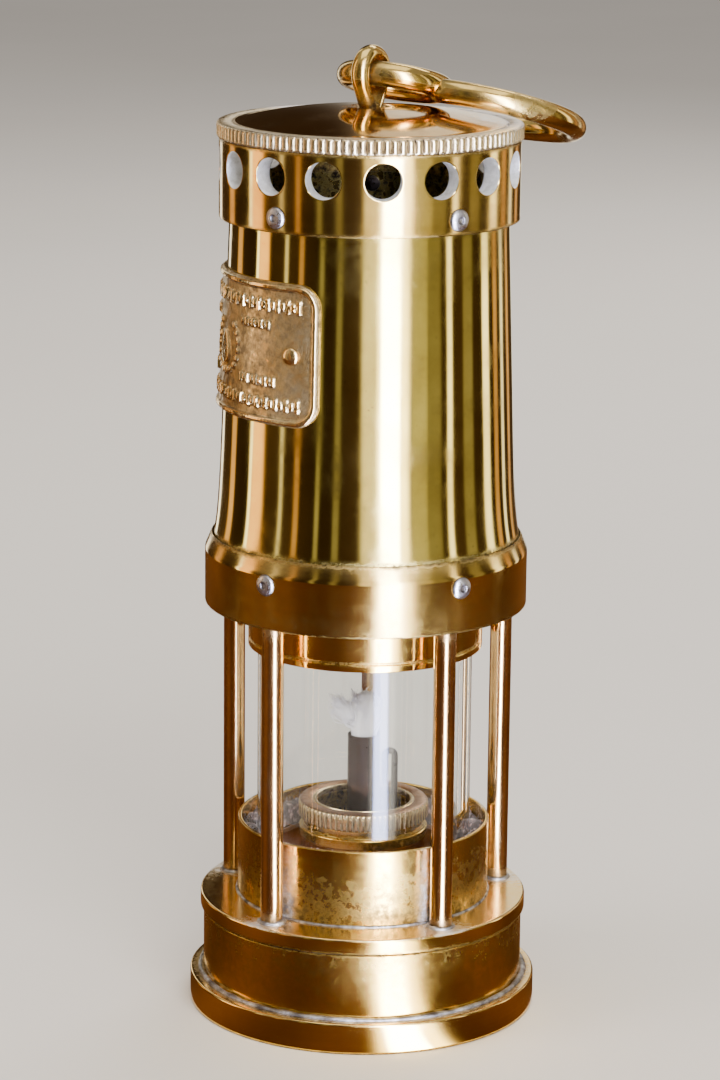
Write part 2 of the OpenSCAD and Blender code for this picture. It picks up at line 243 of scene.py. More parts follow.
def addNode(tree, kind, inputs=None, **settings):
    # a new node whose inputs are linked to sockets or set to values
    made = tree.nodes.new("ShaderNode" + kind)
    for key, value in settings.items():
        setattr(made, key, value)
    for key, value in (inputs or {}).items():
        socket = made.inputs[key]
        if isinstance(value, bpy.types.NodeSocket):
            tree.links.new(value, socket)
        else:
            socket.default_value = value
    return made


def maths(tree, operation, a, b=0.0, clamp=False):
    # operation(a, b), held between 0 and 1 where clamp is set
    made = addNode(tree, "Math", {0: a, 1: b}, operation=operation, use_clamp=clamp)
    return made.outputs[0]


def stretched(tree, vector, scale):
    # vector times scale, axis by axis
    made = addNode(tree, "VectorMath", {0: vector, 1: scale}, operation="MULTIPLY")
    return made.outputs[0]


def noise(tree, vector, scale, detail=4.0, rough=0.55):
    # layered noise of scale times vector, mostly between 0.3 and 0.7
    made = addNode(tree, "TexNoise", {"Vector": vector, "Scale": scale, "Detail": detail,
                                      "Roughness": rough})
    return made.outputs["Fac"]


def ranged(tree, value, low, high, toLow=0.0, toHigh=1.0):
    # toLow at low, toHigh at high, a straight line between and flat outside
    made = addNode(tree, "MapRange", {"Value": value, "From Min": low, "From Max": high,
                                      "To Min": toLow, "To Max": toHigh})
    return made.outputs[0]


def mixed(tree, factor, a, b, kind="MIX"):
    # a (1 - factor) + b factor, or another blend of the two colours
    made = tree.nodes.new("ShaderNodeMix")
    made.data_type, made.blend_type = "RGBA", kind
    for index, value in ((0, factor), (6, a), (7, b)):
        if isinstance(value, bpy.types.NodeSocket):
            tree.links.new(value, made.inputs[index])
        else:
            made.inputs[index].default_value = value
    return made.outputs[2]


def newGroup(name, inputs, outputs):
    # an empty node group with its sockets; inputs are (name, kind, default)
    tree = bpy.data.node_groups.new(name, "ShaderNodeTree")
    for label, kind, default in inputs:
        made = tree.interface.new_socket(label, in_out="INPUT", socket_type="NodeSocket" + kind)
        if default is not None:
            made.default_value = default
    for label, kind in outputs:
        tree.interface.new_socket(label, in_out="OUTPUT", socket_type="NodeSocket" + kind)
    return tree, tree.nodes.new("NodeGroupInput").outputs, tree.nodes.new("NodeGroupOutput").inputs


def colour(r, g, b):
    # linear red, green and blue with full alpha
    return (r, g, b, 1)


# Old brass: two tones of metal, brown tarnish in patches, dark grime in the joints and painted
# shade where the grime mask carries it, a pale haze film that on the lid is painted sheen,
# turning marks round the axis, small spots and greasy smears
oldBrass, given, result = newGroup("oldBrass", [
    ("Point", "Vector", None), ("Grime_and_shade", "Float", 0.0), ("Haze_and_sheen", "Float", 0.0),
    ("Bright", "Color", colour(0.8, 0.6, 0.3)), ("Deep", "Color", colour(0.7, 0.45, 0.2)),
    ("Tarnish", "Color", colour(0.25, 0.14, 0.05)), ("Tarnish Amount", "Float", 0.4),
    ("Patch Scale", "Float", 60.0), ("Brushing", "Float", 0.5), ("Roughness", "Float", 0.2),
], [("Color", "Color"), ("Roughness", "Float"), ("Height", "Float")])
t = oldBrass
point = given["Point"]
cloud = noise(t, point, 38.0, 5.0, 0.6)
tone = mixed(t, ranged(t, cloud, 0.35, 0.68), given["Bright"], given["Deep"])
patches = ranged(t, noise(t, point, given["Patch Scale"], 6.0, 0.6), 0.52, 0.8)
patches = maths(t, "MULTIPLY", patches, given["Tarnish Amount"])
lines = noise(t, stretched(t, point, (14, 14, 2300)), 1.0, 3.0, 0.7)
spots = ranged(t, noise(t, point, 950.0, 2.0, 0.5), 0.68, 0.76)
spots = maths(t, "MULTIPLY", spots, maths(t, "MULTIPLY", given["Tarnish Amount"], 0.7))
# the grime mask darkens the brass towards near black: real grime in the joints, and painted shade
# and shadow where a piece's mask carries them
ragged = ranged(t, noise(t, point, 420.0, 6.0, 0.7), 0.28, 0.62)
grimeAndShade = maths(t, "MULTIPLY", given["Grime_and_shade"], ragged, True)
tone = mixed(t, maths(t, "MAXIMUM", patches, spots, True), tone, given["Tarnish"])
# pale haze film: real haze on most pieces, and on the lid painted sheen on the side where the light
# catches it
filmAndSheen = ranged(t, noise(t, point, 620.0, 7.0, 0.75), 0.3, 0.66)
filmAndSheen = maths(t, "MULTIPLY", given["Haze_and_sheen"], filmAndSheen, True)
tone = mixed(t, filmAndSheen, tone, colour(0.86, 0.80, 0.72))
tone = mixed(t, grimeAndShade, tone, colour(0.022, 0.013, 0.007))
shade = ranged(t, lines, 0.25, 0.75, 0.9, 1.05)
shade = maths(t, "MULTIPLY", maths(t, "SUBTRACT", shade, 1.0), given["Brushing"])
shade = maths(t, "ADD", shade, 1.0)
tone = mixed(t, 1.0, tone, addNode(t, "CombineXYZ", {0: shade, 1: shade, 2: shade}).outputs[0],
             "MULTIPLY")
smears = ranged(t, noise(t, stretched(t, point, (60, 60, 22)), 1.0, 5.0, 0.6), 0.4, 0.75)
rough = maths(t, "ADD", given["Roughness"], maths(t, "MULTIPLY", patches, 0.22))
rough = maths(t, "ADD", rough, maths(t, "MULTIPLY", smears, 0.09))
brushed = maths(t, "MULTIPLY", lines, given["Brushing"])
rough = maths(t, "ADD", rough, maths(t, "MULTIPLY", brushed, 0.12))
rough = maths(t, "ADD", rough, maths(t, "MULTIPLY", maths(t, "ADD", grimeAndShade, filmAndSheen), 0.4), True)
height = maths(t, "ADD", brushed,
               maths(t, "MULTIPLY", noise(t, point, 260.0, 4.0, 0.6), 0.5))
height = maths(t, "SUBTRACT", height, maths(t, "MULTIPLY", grimeAndShade, 0.5))
for label, value in (("Color", tone), ("Roughness", rough), ("Height", height)):
    t.links.new(value, result[label])


def newMaterial(name):
    # a material, its tree, its shader and the object's own coordinates
    made = bpy.data.materials.new(name)
    made.use_nodes = True
    tree = made.node_tree
    shader = next(n for n in tree.nodes if n.type == "BSDF_PRINCIPLED")
    return made, tree, shader, addNode(tree, "TexCoord").outputs["Object"]


def addBump(tree, shader, height, strength, distance):
    # the normal tilts with the slope of height times distance, by the share strength
    bump = addNode(tree, "Bump", {"Height": height, "Strength": strength, "Distance": distance})
    tree.links.new(bump.outputs[0], shader.inputs["Normal"])


def brass(name, bump, values):
    # a brass finish: the group's colour, roughness and height with this piece's own values
    made, tree, shader, point = newMaterial(name)
    shader.inputs["Metallic"].default_value = 1
    group = addNode(tree, "Group", node_tree=oldBrass)
    tree.links.new(point, group.inputs["Point"])
    for mask in ("Grime_and_shade", "Haze_and_sheen"):
        paint = addNode(tree, "Attribute", attribute_name=mask.lower())
        tree.links.new(paint.outputs["Fac"], group.inputs[mask])
    for key, value in values.items():
        group.inputs[key].default_value = value
    tree.links.new(group.outputs["Color"], shader.inputs["Base Color"])
    tree.links.new(group.outputs["Roughness"], shader.inputs["Roughness"])
    addBump(tree, shader, group.outputs["Height"], bump, 0.00004)
    return made


print("brass group built")

# each brass finish: bright, deep and tarnish tones, then the amount of tarnish, the scale of
# its patches, brushing, roughness and bump
finishes = {
    "polishedBrass": ((0.83, 0.64, 0.19), (0.58, 0.42, 0.10), (0.34, 0.23, 0.07),
                      0.6, 75, 0.1, 0.045, 0.08),
    "satinBrass": ((0.80, 0.56, 0.17), (0.58, 0.37, 0.09), (0.34, 0.20, 0.07),
                   0.35, 90, 0.5, 0.06, 0.13),
    "warmBrass": ((0.90, 0.60, 0.14), (0.74, 0.45, 0.08), (0.40, 0.21, 0.07),
                  0.05, 60, 0.5, 0.06, 0.12),
    "pillarBrass": ((0.84, 0.55, 0.22), (0.55, 0.32, 0.12), (0.26, 0.13, 0.05),
                    0.45, 110, 0.3, 0.1, 0.15),
    "goldBrass": ((0.96, 0.66, 0.18), (0.80, 0.50, 0.11), (0.22, 0.11, 0.04),
                  0.35, 120, 0.25, 0.07, 0.1),
    "knurledBrass": ((0.92, 0.76, 0.46), (0.66, 0.47, 0.22), (0.22, 0.13, 0.06),
                     0.6, 160, 0.25, 0.17, 0.2),
    "domeBrass": ((0.86, 0.58, 0.26), (0.70, 0.43, 0.17), (0.30, 0.17, 0.08),
                  0.5, 95, 0.1, 0.05, 0.08),
    "forgedBrass": ((0.82, 0.58, 0.17), (0.52, 0.33, 0.09), (0.12, 0.065, 0.03),
                    0.7, 120, 0.05, 0.12, 0.3),
    "castBrass": ((0.94, 0.74, 0.38), (0.70, 0.46, 0.16), (0.28, 0.16, 0.07),
                  0.5, 200, 0, 0.16, 0.35),
}
labels = ("Bright", "Deep", "Tarnish", "Tarnish Amount", "Patch Scale", "Brushing", "Roughness")
finish = {}
for name, (*tones, amount, scale, brushing, roughness, bump) in finishes.items():
    settings = [colour(*tone) for tone in tones] + [amount, scale, brushing, roughness]
    finish[name] = brass(name, bump, dict(zip(labels, settings)))
print("brass finishes:", len(finish))


def metal(name, light, dark, scale, roughness, bump, metallic):
    # a plain metal in two mottled tones with fine scratches
    made, tree, shader, point = newMaterial(name)
    shader.inputs["Metallic"].default_value = metallic
    mottle = ranged(tree, noise(tree, point, scale, 6.0, 0.65), 0.38, 0.66)
    # the mask darkens the metal towards near black: grime, and on the rivets a painted shadow round
    # each head
    mask = addNode(tree, "Attribute", attribute_name="grime_and_shade").outputs["Fac"]
    tone = mixed(tree, mottle, light, dark)
    tone = mixed(tree, maths(tree, "MULTIPLY", mask, 0.9), tone, colour(0.04, 0.03, 0.025))
    tree.links.new(tone, shader.inputs["Base Color"])
    tree.links.new(ranged(tree, mottle, 0, 1, roughness, roughness + 0.16),
                   shader.inputs["Roughness"])
    addBump(tree, shader, noise(tree, point, scale * 6, 5.0, 0.6), bump, 0.00006)
    return made


# each plain metal: light and dark tones, scale of the mottling, roughness, bump and metallic
metals = {
    "aluminium": ((0.60, 0.58, 0.57), (0.26, 0.24, 0.24), 700.0, 0.24, 0.5, 1),
    "nickel": ((0.19, 0.15, 0.155), (0.09, 0.07, 0.085), 180.0, 0.12, 0.15, 1),
    "steel": ((0.17, 0.165, 0.18), (0.06, 0.055, 0.06), 500.0, 0.16, 0.25, 1),
    "brownedBrass": ((0.42, 0.24, 0.12), (0.24, 0.12, 0.055), 240.0, 0.34, 0.4, 1),
    "soot": ((0.05, 0.045, 0.04), (0.015, 0.013, 0.012), 300.0, 0.55, 0.4, 1),
    "bareMetal": ((0.93, 0.94, 0.94), (0.60, 0.60, 0.57), 420.0, 0.4, 0.4, 0.25),
    "solder": ((0.62, 0.60, 0.56), (0.24, 0.21, 0.18), 600.0, 0.38, 0.9, 1),
}
for name, (light, dark, *rest) in metals.items():
    finish[name] = metal(name, colour(*light), colour(*dark), *rest)


def cloth(name, light, dark, scale, bump, sheen, stain=None):
    # matt fibre: two tones from fine noise, with fibre grain in the bump
    made, tree, shader, point = newMaterial(name)
    shader.inputs["Roughness"].default_value = 0.92
    shader.inputs["Sheen Weight"].default_value = sheen
    blotch = ranged(tree, noise(tree, point, scale, 6.0, 0.7), 0.36, 0.68)
    tone = mixed(tree, blotch, light, dark)
    if stain:
        mask = addNode(tree, "Attribute", attribute_name="grime_and_shade").outputs["Fac"]
        ragged = ranged(tree, noise(tree, point, scale * 1.6, 5.0, 0.7), 0.3, 0.6)
        tone = mixed(tree, maths(tree, "MULTIPLY", mask, ragged, True), tone, stain)
    tree.links.new(tone, shader.inputs["Base Color"])
    grain = noise(tree, stretched(tree, point, (1, 1, 0.35)), scale * 9, 4.0, 0.7)
    addBump(tree, shader, grain, bump, 0.0002)
    return made


finish["cotton"] = cloth("cotton", colour(0.98, 0.97, 0.98), colour(0.86, 0.84, 0.90),
                         420.0, 0.5, 0.3, colour(0.16, 0.13, 0.19))
finish["fibre"] = cloth("fibre", colour(0.86, 0.66, 0.60), colour(0.55, 0.28, 0.22),
                        260.0, 0.9, 0.15, colour(0.045, 0.032, 0.028))
finish["leather"] = cloth("leather", colour(0.20, 0.11, 0.06), colour(0.07, 0.04, 0.025),
                          240.0, 0.5, 0.0)
finish["rubber"] = cloth("rubber", colour(0.05, 0.04, 0.035), colour(0.02, 0.018, 0.016),
                         300.0, 0.4, 0.0)


def wireCloth(name, wires):
    # crossed wires: the bump is the higher of |sin| round the axis and |sin| along it
    made, tree, shader, point = newMaterial(name)
    shader.inputs["Metallic"].default_value = 1
    axes = addNode(tree, "SeparateXYZ", {0: point}).outputs
    around = maths(tree, "MULTIPLY", maths(tree, "ARCTAN2", axes[1], axes[0]), wires)
    across = maths(tree, "ABSOLUTE", maths(tree, "SINE", around))
    along = maths(tree, "ABSOLUTE", maths(tree, "SINE", maths(tree, "MULTIPLY", axes[2], 2800.0)))
    weave = maths(tree, "MAXIMUM", across, along)
    rust = ranged(tree, noise(tree, point, 140.0, 5.0, 0.6), 0.4, 0.7)
    tone = mixed(tree, rust, colour(0.23, 0.21, 0.20), colour(0.13, 0.085, 0.06))
    # the gaps between the wires are painted near black: painted shade where the mesh is open
    tone = mixed(tree, ranged(tree, weave, 0.55, 0.9), colour(0.008, 0.007, 0.007), tone)
    tree.links.new(tone, shader.inputs["Base Color"])
    tree.links.new(ranged(tree, rust, 0, 1, 0.38, 0.62), shader.inputs["Roughness"])
    addBump(tree, shader, weave, 0.8, 0.0002)
    return made


finish["gauze"] = wireCloth("gauze", 60.0)


def clearGlass(name):
    # clear glass with faint smears that only touch the roughness
    made, tree, shader, point = newMaterial(name)
    shader.inputs["Transmission Weight"].default_value = 1
    shader.inputs["IOR"].default_value = 1.47
    shader.inputs["Specular IOR Level"].default_value = 0.12
    smears = ranged(tree, noise(tree, stretched(tree, point, (1, 1, 0.3)), 110.0, 6.0, 0.65),
                    0.5, 0.8, 0.0, 0.012)
    tree.links.new(smears, shader.inputs["Roughness"])
    tree.links.new(mixed(tree, ranged(tree, noise(tree, point, 60.0, 3.0), 0.3, 0.7),
                         colour(0.98, 0.99, 0.985), colour(0.94, 0.965, 0.955)),
                   shader.inputs["Base Color"])
    return made


finish["glass"] = clearGlass("glass")
print("materials:", len(finish))

# floor: a pale sweep far wider than the view
floorTone = {"light": colour(0.78, 0.73, 0.67), "dark": colour(0.72, 0.67, 0.61), "half": 6.0}
floorMesh = bpy.data.meshes.new("floor")
h = floorTone["half"]
floorMesh.from_pydata([(-h, -h, 0), (h, -h, 0), (h, h, 0), (-h, h, 0)], [], [(0, 1, 2, 3)])
floor = bpy.data.objects.new("floor", floorMesh)
bpy.context.scene.collection.objects.link(floor)
floorMaterial, tree, shader, point = newMaterial("floorPaint")
tree.links.new(mixed(tree, noise(tree, point, 3.0), floorTone["light"], floorTone["dark"]),
               shader.inputs["Base Color"])
shader.inputs["Roughness"].default_value = 0.9
shader.inputs["Specular IOR Level"].default_value = 0
floorMesh.materials.append(floorMaterial)

# light tent: an upright wall round the lamp and a skirt on the floor that only polished
# metal sees: dark and warm, with soft upright strips (angle from the camera, half width,
# strength, tint)
pale, cream = (0.95, 1.05, 1.6), (1.0, 0.95, 0.82)
amber, green = (1.0, 0.56, 0.24), (0.88, 0.86, 0.48)
tent = {"radius": 0.62, "high": 0.75, "skirt": 0.0455, "wall": (0.055, 0.032, 0.015),
        "ground": (0.15, 0.06, 0.018), "strips": [
    (17, 7, 44.0, pale), (19, 12, 8.0, cream), (3, 7, 1.8, cream), (40, 7, 0.9, green),
    (52, 6, 0.35, green), (66, 2.2, 3.6, cream),
    (84, 5, 0.35, green), (105, 4, 3.6, cream), (119, 3, 0.9, amber), (131, 2.5, 2.2, cream),
    (145, 3, 1.0, amber), (172, 8, 1.4, cream), (-22, 2.2, 0.35, green), (-37, 1.6, 0.5, green),
    (-54, 2, 0.8, amber), (-68, 1.6, 1.4, cream), (-92, 6, 3.0, amber), (-99, 1.5, 4.5, cream),
    (-126, 4, 1.3, amber), (-154, 3.5, 3.2, cream)]}
columns = 1080
angle = np.arange(columns) * tau / columns
rowsOut = [(r, 0.0004) for r in (tent["skirt"], 0.07, 0.10, 0.2, 0.4, 0.6)]
rowsOut += [(tent["radius"], z) for z in np.linspace(0.01, tent["high"], 8)]
tentPoints = np.concatenate([np.column_stack([
    r * np.sin(angle), -r * np.cos(angle), np.full(columns, z)]) for r, z in rowsOut])
tentMesh = bpy.data.meshes.new("lightTent")
tentMesh.from_pydata(tentPoints.tolist(), [], gridFaces(len(rowsOut), columns).tolist())
turn = np.degrees(angle)
glow, keyGlow = np.zeros((columns, 3)), np.zeros((columns, 3))
for middle, half, strength, tint in tent["strips"]:
    away = np.abs((turn - middle - cameraView["turn"] + 180) % 360 - 180)
    strip = strength / (1 + np.exp((away - half) / max(half * 0.10, 0.35)))
    glow = np.maximum(glow, strip[:, None] * np.array(tint))
    if strength > 5:                # the floor near the foot shows the key strips alone
        keyGlow = np.maximum(keyGlow, strip[:, None] * np.array(tint))
fade = np.interp([z for r, z in rowsOut], [0, 0.001, 0.012, 0.2, 0.75], [1.3, 1.3, 1.1, 1, 0.7])
onGround = np.array([z < 0.001 for r, z in rowsOut])[:, None, None]
under = np.where(onGround, np.array(tent["ground"]), np.array(tent["wall"]))
rgb = (under * (1 + 0.35 * np.sin(angle * 5 + 1))[None, :, None]
       + np.where(onGround, keyGlow, glow) * fade[:, None, None])
rgb = rgb.reshape(-1, 3)
paint = tentMesh.attributes.new("glow", "FLOAT_COLOR", "POINT")
paint.data.foreach_set("color", np.column_stack([rgb, np.ones(len(rgb))]).ravel())
tentWall = bpy.data.objects.new("lightTent", tentMesh)
bpy.context.scene.collection.objects.link(tentWall)
tentMaterial = bpy.data.materials.new("tentGlow")
tentMaterial.use_nodes = True
tentMaterial.node_tree.nodes.clear()
tree = tentMaterial.node_tree
source = addNode(tree, "Attribute", attribute_name="glow").outputs["Color"]
lit = addNode(tree, "Emission", {"Color": source, "Strength": 1.0})
tree.links.new(lit.outputs[0], addNode(tree, "OutputMaterial").inputs["Surface"])
tentMesh.materials.append(tentMaterial)
for ray in ("camera", "diffuse", "transmission", "volume_scatter", "shadow"):
    setattr(tentWall, "visible_" + ray, False)

softboxes = {"key": ((0.55, -1.35, 1.15), 0.9, 30, (1.0, 0.96, 0.90)),
             "fill": ((-1.25, -0.55, 0.85), 0.8, 11, (1.0, 0.95, 0.90)),
             "back": ((0.5, 1.2, 1.1), 0.8, 14, (1.0, 0.97, 0.93)),
             "overhead": ((0.0, -0.1, 1.7), 1.2, 10, (1.0, 0.98, 0.96))}
for name, (place, size, power, tint) in softboxes.items():
    lamp = bpy.data.lights.new(name, "AREA")
    lamp.shape, lamp.size, lamp.energy, lamp.color = "SQUARE", size, power, tint
    holder = bpy.data.objects.new(name, lamp)
    aim = Vector((0, 0, 0.12)) - Vector(place)
    holder.rotation_euler = aim.to_track_quat("-Z", "Y").to_euler()
    holder.location = place
    holder.visible_camera = False
    bpy.context.scene.collection.objects.link(holder)
world = bpy.data.worlds.new("room")
world.use_nodes = True
world.node_tree.nodes["Background"].inputs["Color"].default_value = colour(0.86, 0.84, 0.82)
world.node_tree.nodes["Background"].inputs["Strength"].default_value = 0.5
bpy.context.scene.world = world
print("floor, tent and softboxes placed")


vessel = {"edge": 0.55, "shellWall": 1.2, "shellEdge": 0.3, "footWidth": 7, "bead": 0.8,
          "beadRadius": 42.15}
footR, _, footTop = extent("foot_ring")
shellR, shellZ, shellTop = extent("vessel_shell")
shape = turned(softened([
    (footR - vessel["footWidth"], 0), (footR, 0), (footR, footTop), (shellR + 0.05, footTop),
    (shellR + 0.05, 2), (footR - vessel["footWidth"], 2)], vessel["edge"]))
footJoints = [(shellR + 0.6, footTop, 1.2), (footR, 0, 0.5)]
makePiece("footRing", shape, "warmBrass", "vessel", ["foot_ring"],
          nearJoints(shape[0], footJoints),
          haze_and_sheen=0.5 * nearJoints(shape[0], [(footR - 1.5, footTop, 1.5)]))

shape = sleeve(shellR - vessel["shellWall"], shellR, shellZ, shellTop, vessel["shellEdge"])
shellJoints = [(shellR, footTop + 0.8, 1.1), (shellR, shellTop, 0.5)]
shellDirt = nearJoints(shape[0], shellJoints)
makePiece("vesselShell", shape, "warmBrass", "vessel", ["vessel_shell"], shellDirt)


def lumpyBead(radius, height, thick, seed, steps=420, sides=14):
    # a ring of uneven solder: the section's size goes up and down with noise round the ring
    path = circle(radius, height, steps)
    size = thick * (1 + 0.2 * ripple(path, 14, seed) + 0.06 * ripple(path, 4, seed + 1))
    return tubes(path[None], size[None], sides, closed=True)


shape = lumpyBead(vessel["beadRadius"], footTop + 0.1, vessel["bead"], 3)
makePiece("footSolder", shape, "solder", "vessel", grimeAndShade=0.5 + 0.5 * ripple(shape[0], 4, 9))
print("vessel built")


plateR, plateZ, plateTop = extent("pillar_plate")
pillarAxes = np.array([sum(span(f"pillar_{n}")) / 2 for n in range(1, 6)])


def pillarDistance(points):
    # distance in plan to the axis of the nearest pillar
    return np.linalg.norm(points[:, None, :2] - pillarAxes[None, :, :2], axis=2).min(axis=1)


plate = {"bore": 24, "rebate": 35, "floor": 0.9, "edge": 0.6}
shape = turned(softened([
    (plate["rebate"], plateZ), (plateR, plateZ), (plateR, plateTop), (plate["bore"], plateTop),
    (plate["bore"], plateTop - plate["floor"]), (plate["rebate"], plateTop - plate["floor"])],
    plate["edge"]), 256)
away = pillarDistance(shape[0])
plateDirt = np.maximum(nearJoints(shape[0], [(32.6, plateTop, 1.6), (plateR, plateZ, 0.7)]),
                       bell(away - 2.8, 1.8) * (shape[0][:, 2] > plateTop - 0.1))
plateHaze = (bell(away - 4.5, 2.8) + 0.35) * (shape[0][:, 2] > plateTop - 0.3)
makePiece("pillarPlate", shape, "warmBrass", "frame", ["pillar_plate"],
          plateDirt, haze_and_sheen=plateHaze)

cupR, _, cupTop = extent("glass_cup")
cup = {"bore": 24, "wall": 1, "floor": 1.2, "edge": 0.28, "bead": 0.42}
shape = turned(softened([
    (cup["bore"], plateTop), (cupR, plateTop), (cupR, cupTop), (cupR - cup["wall"], cupTop),
    (cupR - cup["wall"], plateTop + cup["floor"]), (cup["bore"], plateTop + cup["floor"])],
    cup["edge"]))
beside = bell(pillarDistance(shape[0]) - 4.6, 1.1)
makePiece("glassCup", shape, "warmBrass", "frame", ["glass_cup"],
          nearJoints(shape[0], [(cupR, plateTop + 0.2, 0.7), (cupR, cupTop, 0.35)]),
          haze_and_sheen=1.3 * beside * (0.45 + 0.7 * np.exp(-(shape[0][:, 2] - plateTop) / 6)))

pillar = {"radius": 2.8, "edge": 0.2, "beadRadius": 3.05, "bead": 0.62}
for n, axis in enumerate(pillarAxes, 1):
    low, high = span(f"pillar_{n}")
    rows = np.linspace(low[2] + 1, high[2] - 1, 24)
    profile = [(0, low[2]), (pillar["radius"], low[2])]
    profile += [(pillar["radius"], z) for z in rows] + [(pillar["radius"], high[2]), (0, high[2])]
    profile = softened(profile, pillar["edge"], closed=False, parts=2)
    points, faces = turned(profile, 40, closed=False)
    ends = bell(points[:, 2] - low[2], 2.4)
    ends += 0.8 * bell(high[2] - points[:, 2], 2)
    makePiece(f"pillar{n}", (points + [axis[0], axis[1], 0], faces), "pillarBrass",
              "frame", [f"pillar_{n}"], ends)

solderShells = []
for n, axis in enumerate(pillarAxes):
    path = circle(pillar["beadRadius"], plateTop + 0.05, 40, axis)
    size = pillar["bead"] * (1 + 0.35 * ripple(path, 3, 20 + n))
    solderShells.append(tubes(path[None], size[None], 10, closed=True))
shape = joined(solderShells)
makePiece("pillarSolder", shape, "solder", "frame", grimeAndShade=0.4 + 0.4 * ripple(shape[0], 2, 5))
shape = lumpyBead(cupR + 0.1, plateTop + 0.05, cup["bead"], 31, 300, 10)
makePiece("cupSolder", shape, "solder", "frame", grimeAndShade=0.5 + 0.5 * ripple(shape[0], 3, 6))

ringR, ringZ, ringTop = extent("shoulder_ring")
ring = {"bore": 30.2, "seat": 39.3, "seatZ": 109, "bevelLow": 121.3, "bevelHigh": (39.78, 124.7),
        "lip": 39.5, "edge": 0.45}
shape = turned(softened([
    (ring["bore"], ringZ), (ringR, ringZ), (ringR, ring["bevelLow"]), ring["bevelHigh"],
    (ring["lip"], ringTop), (ring["seat"], ringTop), (ring["seat"], ring["seatZ"]),
    (ring["bore"], ring["seatZ"])], ring["edge"]), 256)
makePiece("shoulderRing", shape, "satinBrass", "frame", ["shoulder_ring"],
          nearJoints(shape[0], [(ring["seat"], ringTop, 1.1), (ringR, ringZ, 0.6)]))

glassR, glassZ, glassTop = extent("glass_chimney")
glass = {"wall": 3, "edge": 0.7}
shape = sleeve(glassR - glass["wall"], glassR, glassZ, glassTop, glass["edge"], parts=6)
chimney = makePiece("glassChimney", shape, "glass", "frame", ["glass_chimney"])
chimney.visible_shadow = False      # light reaches the wick through the glass

collarR, collarZ, collarTop = extent("glass_collar")
collar = {"play": 0.3, "groove": 0.35, "seatBore": 23.5, "seatLow": 101.4, "seatTop": 102.8,
          "edge": 0.22}
collarBore, grooveR = glassR + collar["play"], collarR - collar["groove"]
shape = turned(softened([
    (collarBore, collarZ), (collarR, collarZ), (collarR, collarZ + 1.7), (grooveR, collarZ + 1.9),
    (grooveR, collarZ + 2.3), (collarR, collarZ + 2.5), (collarR, collarTop),
    (collarBore, collarTop), (collarBore, collar["seatTop"]),
    (collar["seatBore"], collar["seatTop"]), (collar["seatBore"], collar["seatLow"]),
    (collarBore, collar["seatLow"])], collar["edge"]))
collarJoints = [(collarR, collarZ + 2.1, 0.5), (collarR, ringZ, 2.0)]
collarDirt = np.maximum(nearJoints(shape[0], collarJoints),
                        0.45 * (ripple(shape[0], 7, 41) > 0.45))
makePiece("glassCollar", shape, "goldBrass", "frame", ["glass_collar"],
          collarDirt)
print("frame and glass built")


bonnetShape = {"foot": 39.2, "shoulder": 124.2, "topRadius": 35.2, "taper": 0.0345, "base": 206,
               "flare": 1.16, "flareLength": 6.4, "wall": 0.9, "dent": 0.03}


def bonnetR(z):
    # a straight taper plus a flare that dies away above the shoulder, and a plain skirt below
    s = bonnetShape
    above = s["topRadius"] + s["taper"] * (s["base"] - z) + s["flare"] * np.exp(
        -(np.maximum(z, s["shoulder"]) - s["shoulder"]) / s["flareLength"])
    return np.where(z < s["shoulder"], s["foot"], above)


def handWork(r, z, angle):
    # shallow dents from rolling and handling, long up the sheet and short round it
    x, y = 40 * np.cos(angle), 40 * np.sin(angle)
    long = ripple(np.stack(np.broadcast_arrays(x, y, z * 0.22), axis=-1), 17, 51)
    small = ripple(np.stack(np.broadcast_arrays(x, y, z * 0.8), axis=-1), 24, 52)
    return r + bonnetShape["dent"] * (long * 0.7 + small * 0.5)


_, bonnetZ, bonnetTop = extent("bonnet")
heights = np.concatenate([[bonnetZ, 115, 120, 123.9], 124.2 + np.linspace(0, 1, 64) ** 1.5
                          * (bonnetTop - 124.2)])
outside = np.column_stack([bonnetR(heights), heights])
inside = np.column_stack([bonnetR(heights) - bonnetShape["wall"], heights])[::-1]
shape = turned(np.concatenate([outside, inside]), 320, wave=handWork)
makePiece("bonnetSheet", shape, "polishedBrass", "frame", ["bonnet"],
          np.maximum(nearJoints(shape[0], [(float(bonnetR(125.2)), 125.3, 0.7),
                                           (float(bonnetR(206.0)), 205.9, 0.6)]),
                     fromAxis(shape[0]) < bonnetR(shape[0][:, 2]) - 0.5))
print("bonnet built")


# vent ring: sixteen patches, each a round hole that opens into its square of wall
vent = {"count": 16, "holeRadius": 4.6, "holeZ": 219.7, "first": 8, "side": 12, "step": 213,
        "bore": 32.8, "skirtBore": 35.3, "edge": 0.35}
ventR, ventZ, ventTop = extent("vent_ring")
n = vent["side"]
halfTurn = pi / vent["count"]
holeTop = ventTop - 1.0
bandLow = vent["step"] + 0.6
line = np.linspace(-1, 1, n + 1)[:-1]
squareA = np.concatenate([line, np.ones(n), -line, -np.ones(n)])
squareZ = np.concatenate([-np.ones(n), line, np.ones(n), -line])
rim = np.arctan2(squareZ, squareA)
middle = radians(vent["first"] - 90) + np.arange(vent["count"]) * 2 * halfTurn


def wallPatch(radius, share):
    # share 0 is the hole's edge and 1 the patch's square border; angle and height in between
    holeA = np.arcsin(vent["holeRadius"] * np.cos(rim) / radius)
    holeZ = vent["holeZ"] + vent["holeRadius"] * np.sin(rim)
    borderA = squareA * halfTurn
    borderZ = np.where(squareZ > 0, vent["holeZ"] + squareZ * (holeTop - vent["holeZ"]),
                       vent["holeZ"] + squareZ * (vent["holeZ"] - bandLow))
    a = middle[:, None] + holeA * (1 - share) + borderA * share
    z = holeZ * (1 - share) + borderZ * share
    z = np.broadcast_to(z, a.shape)
    return np.stack([radius * np.cos(a), radius * np.sin(a), z], axis=-1)


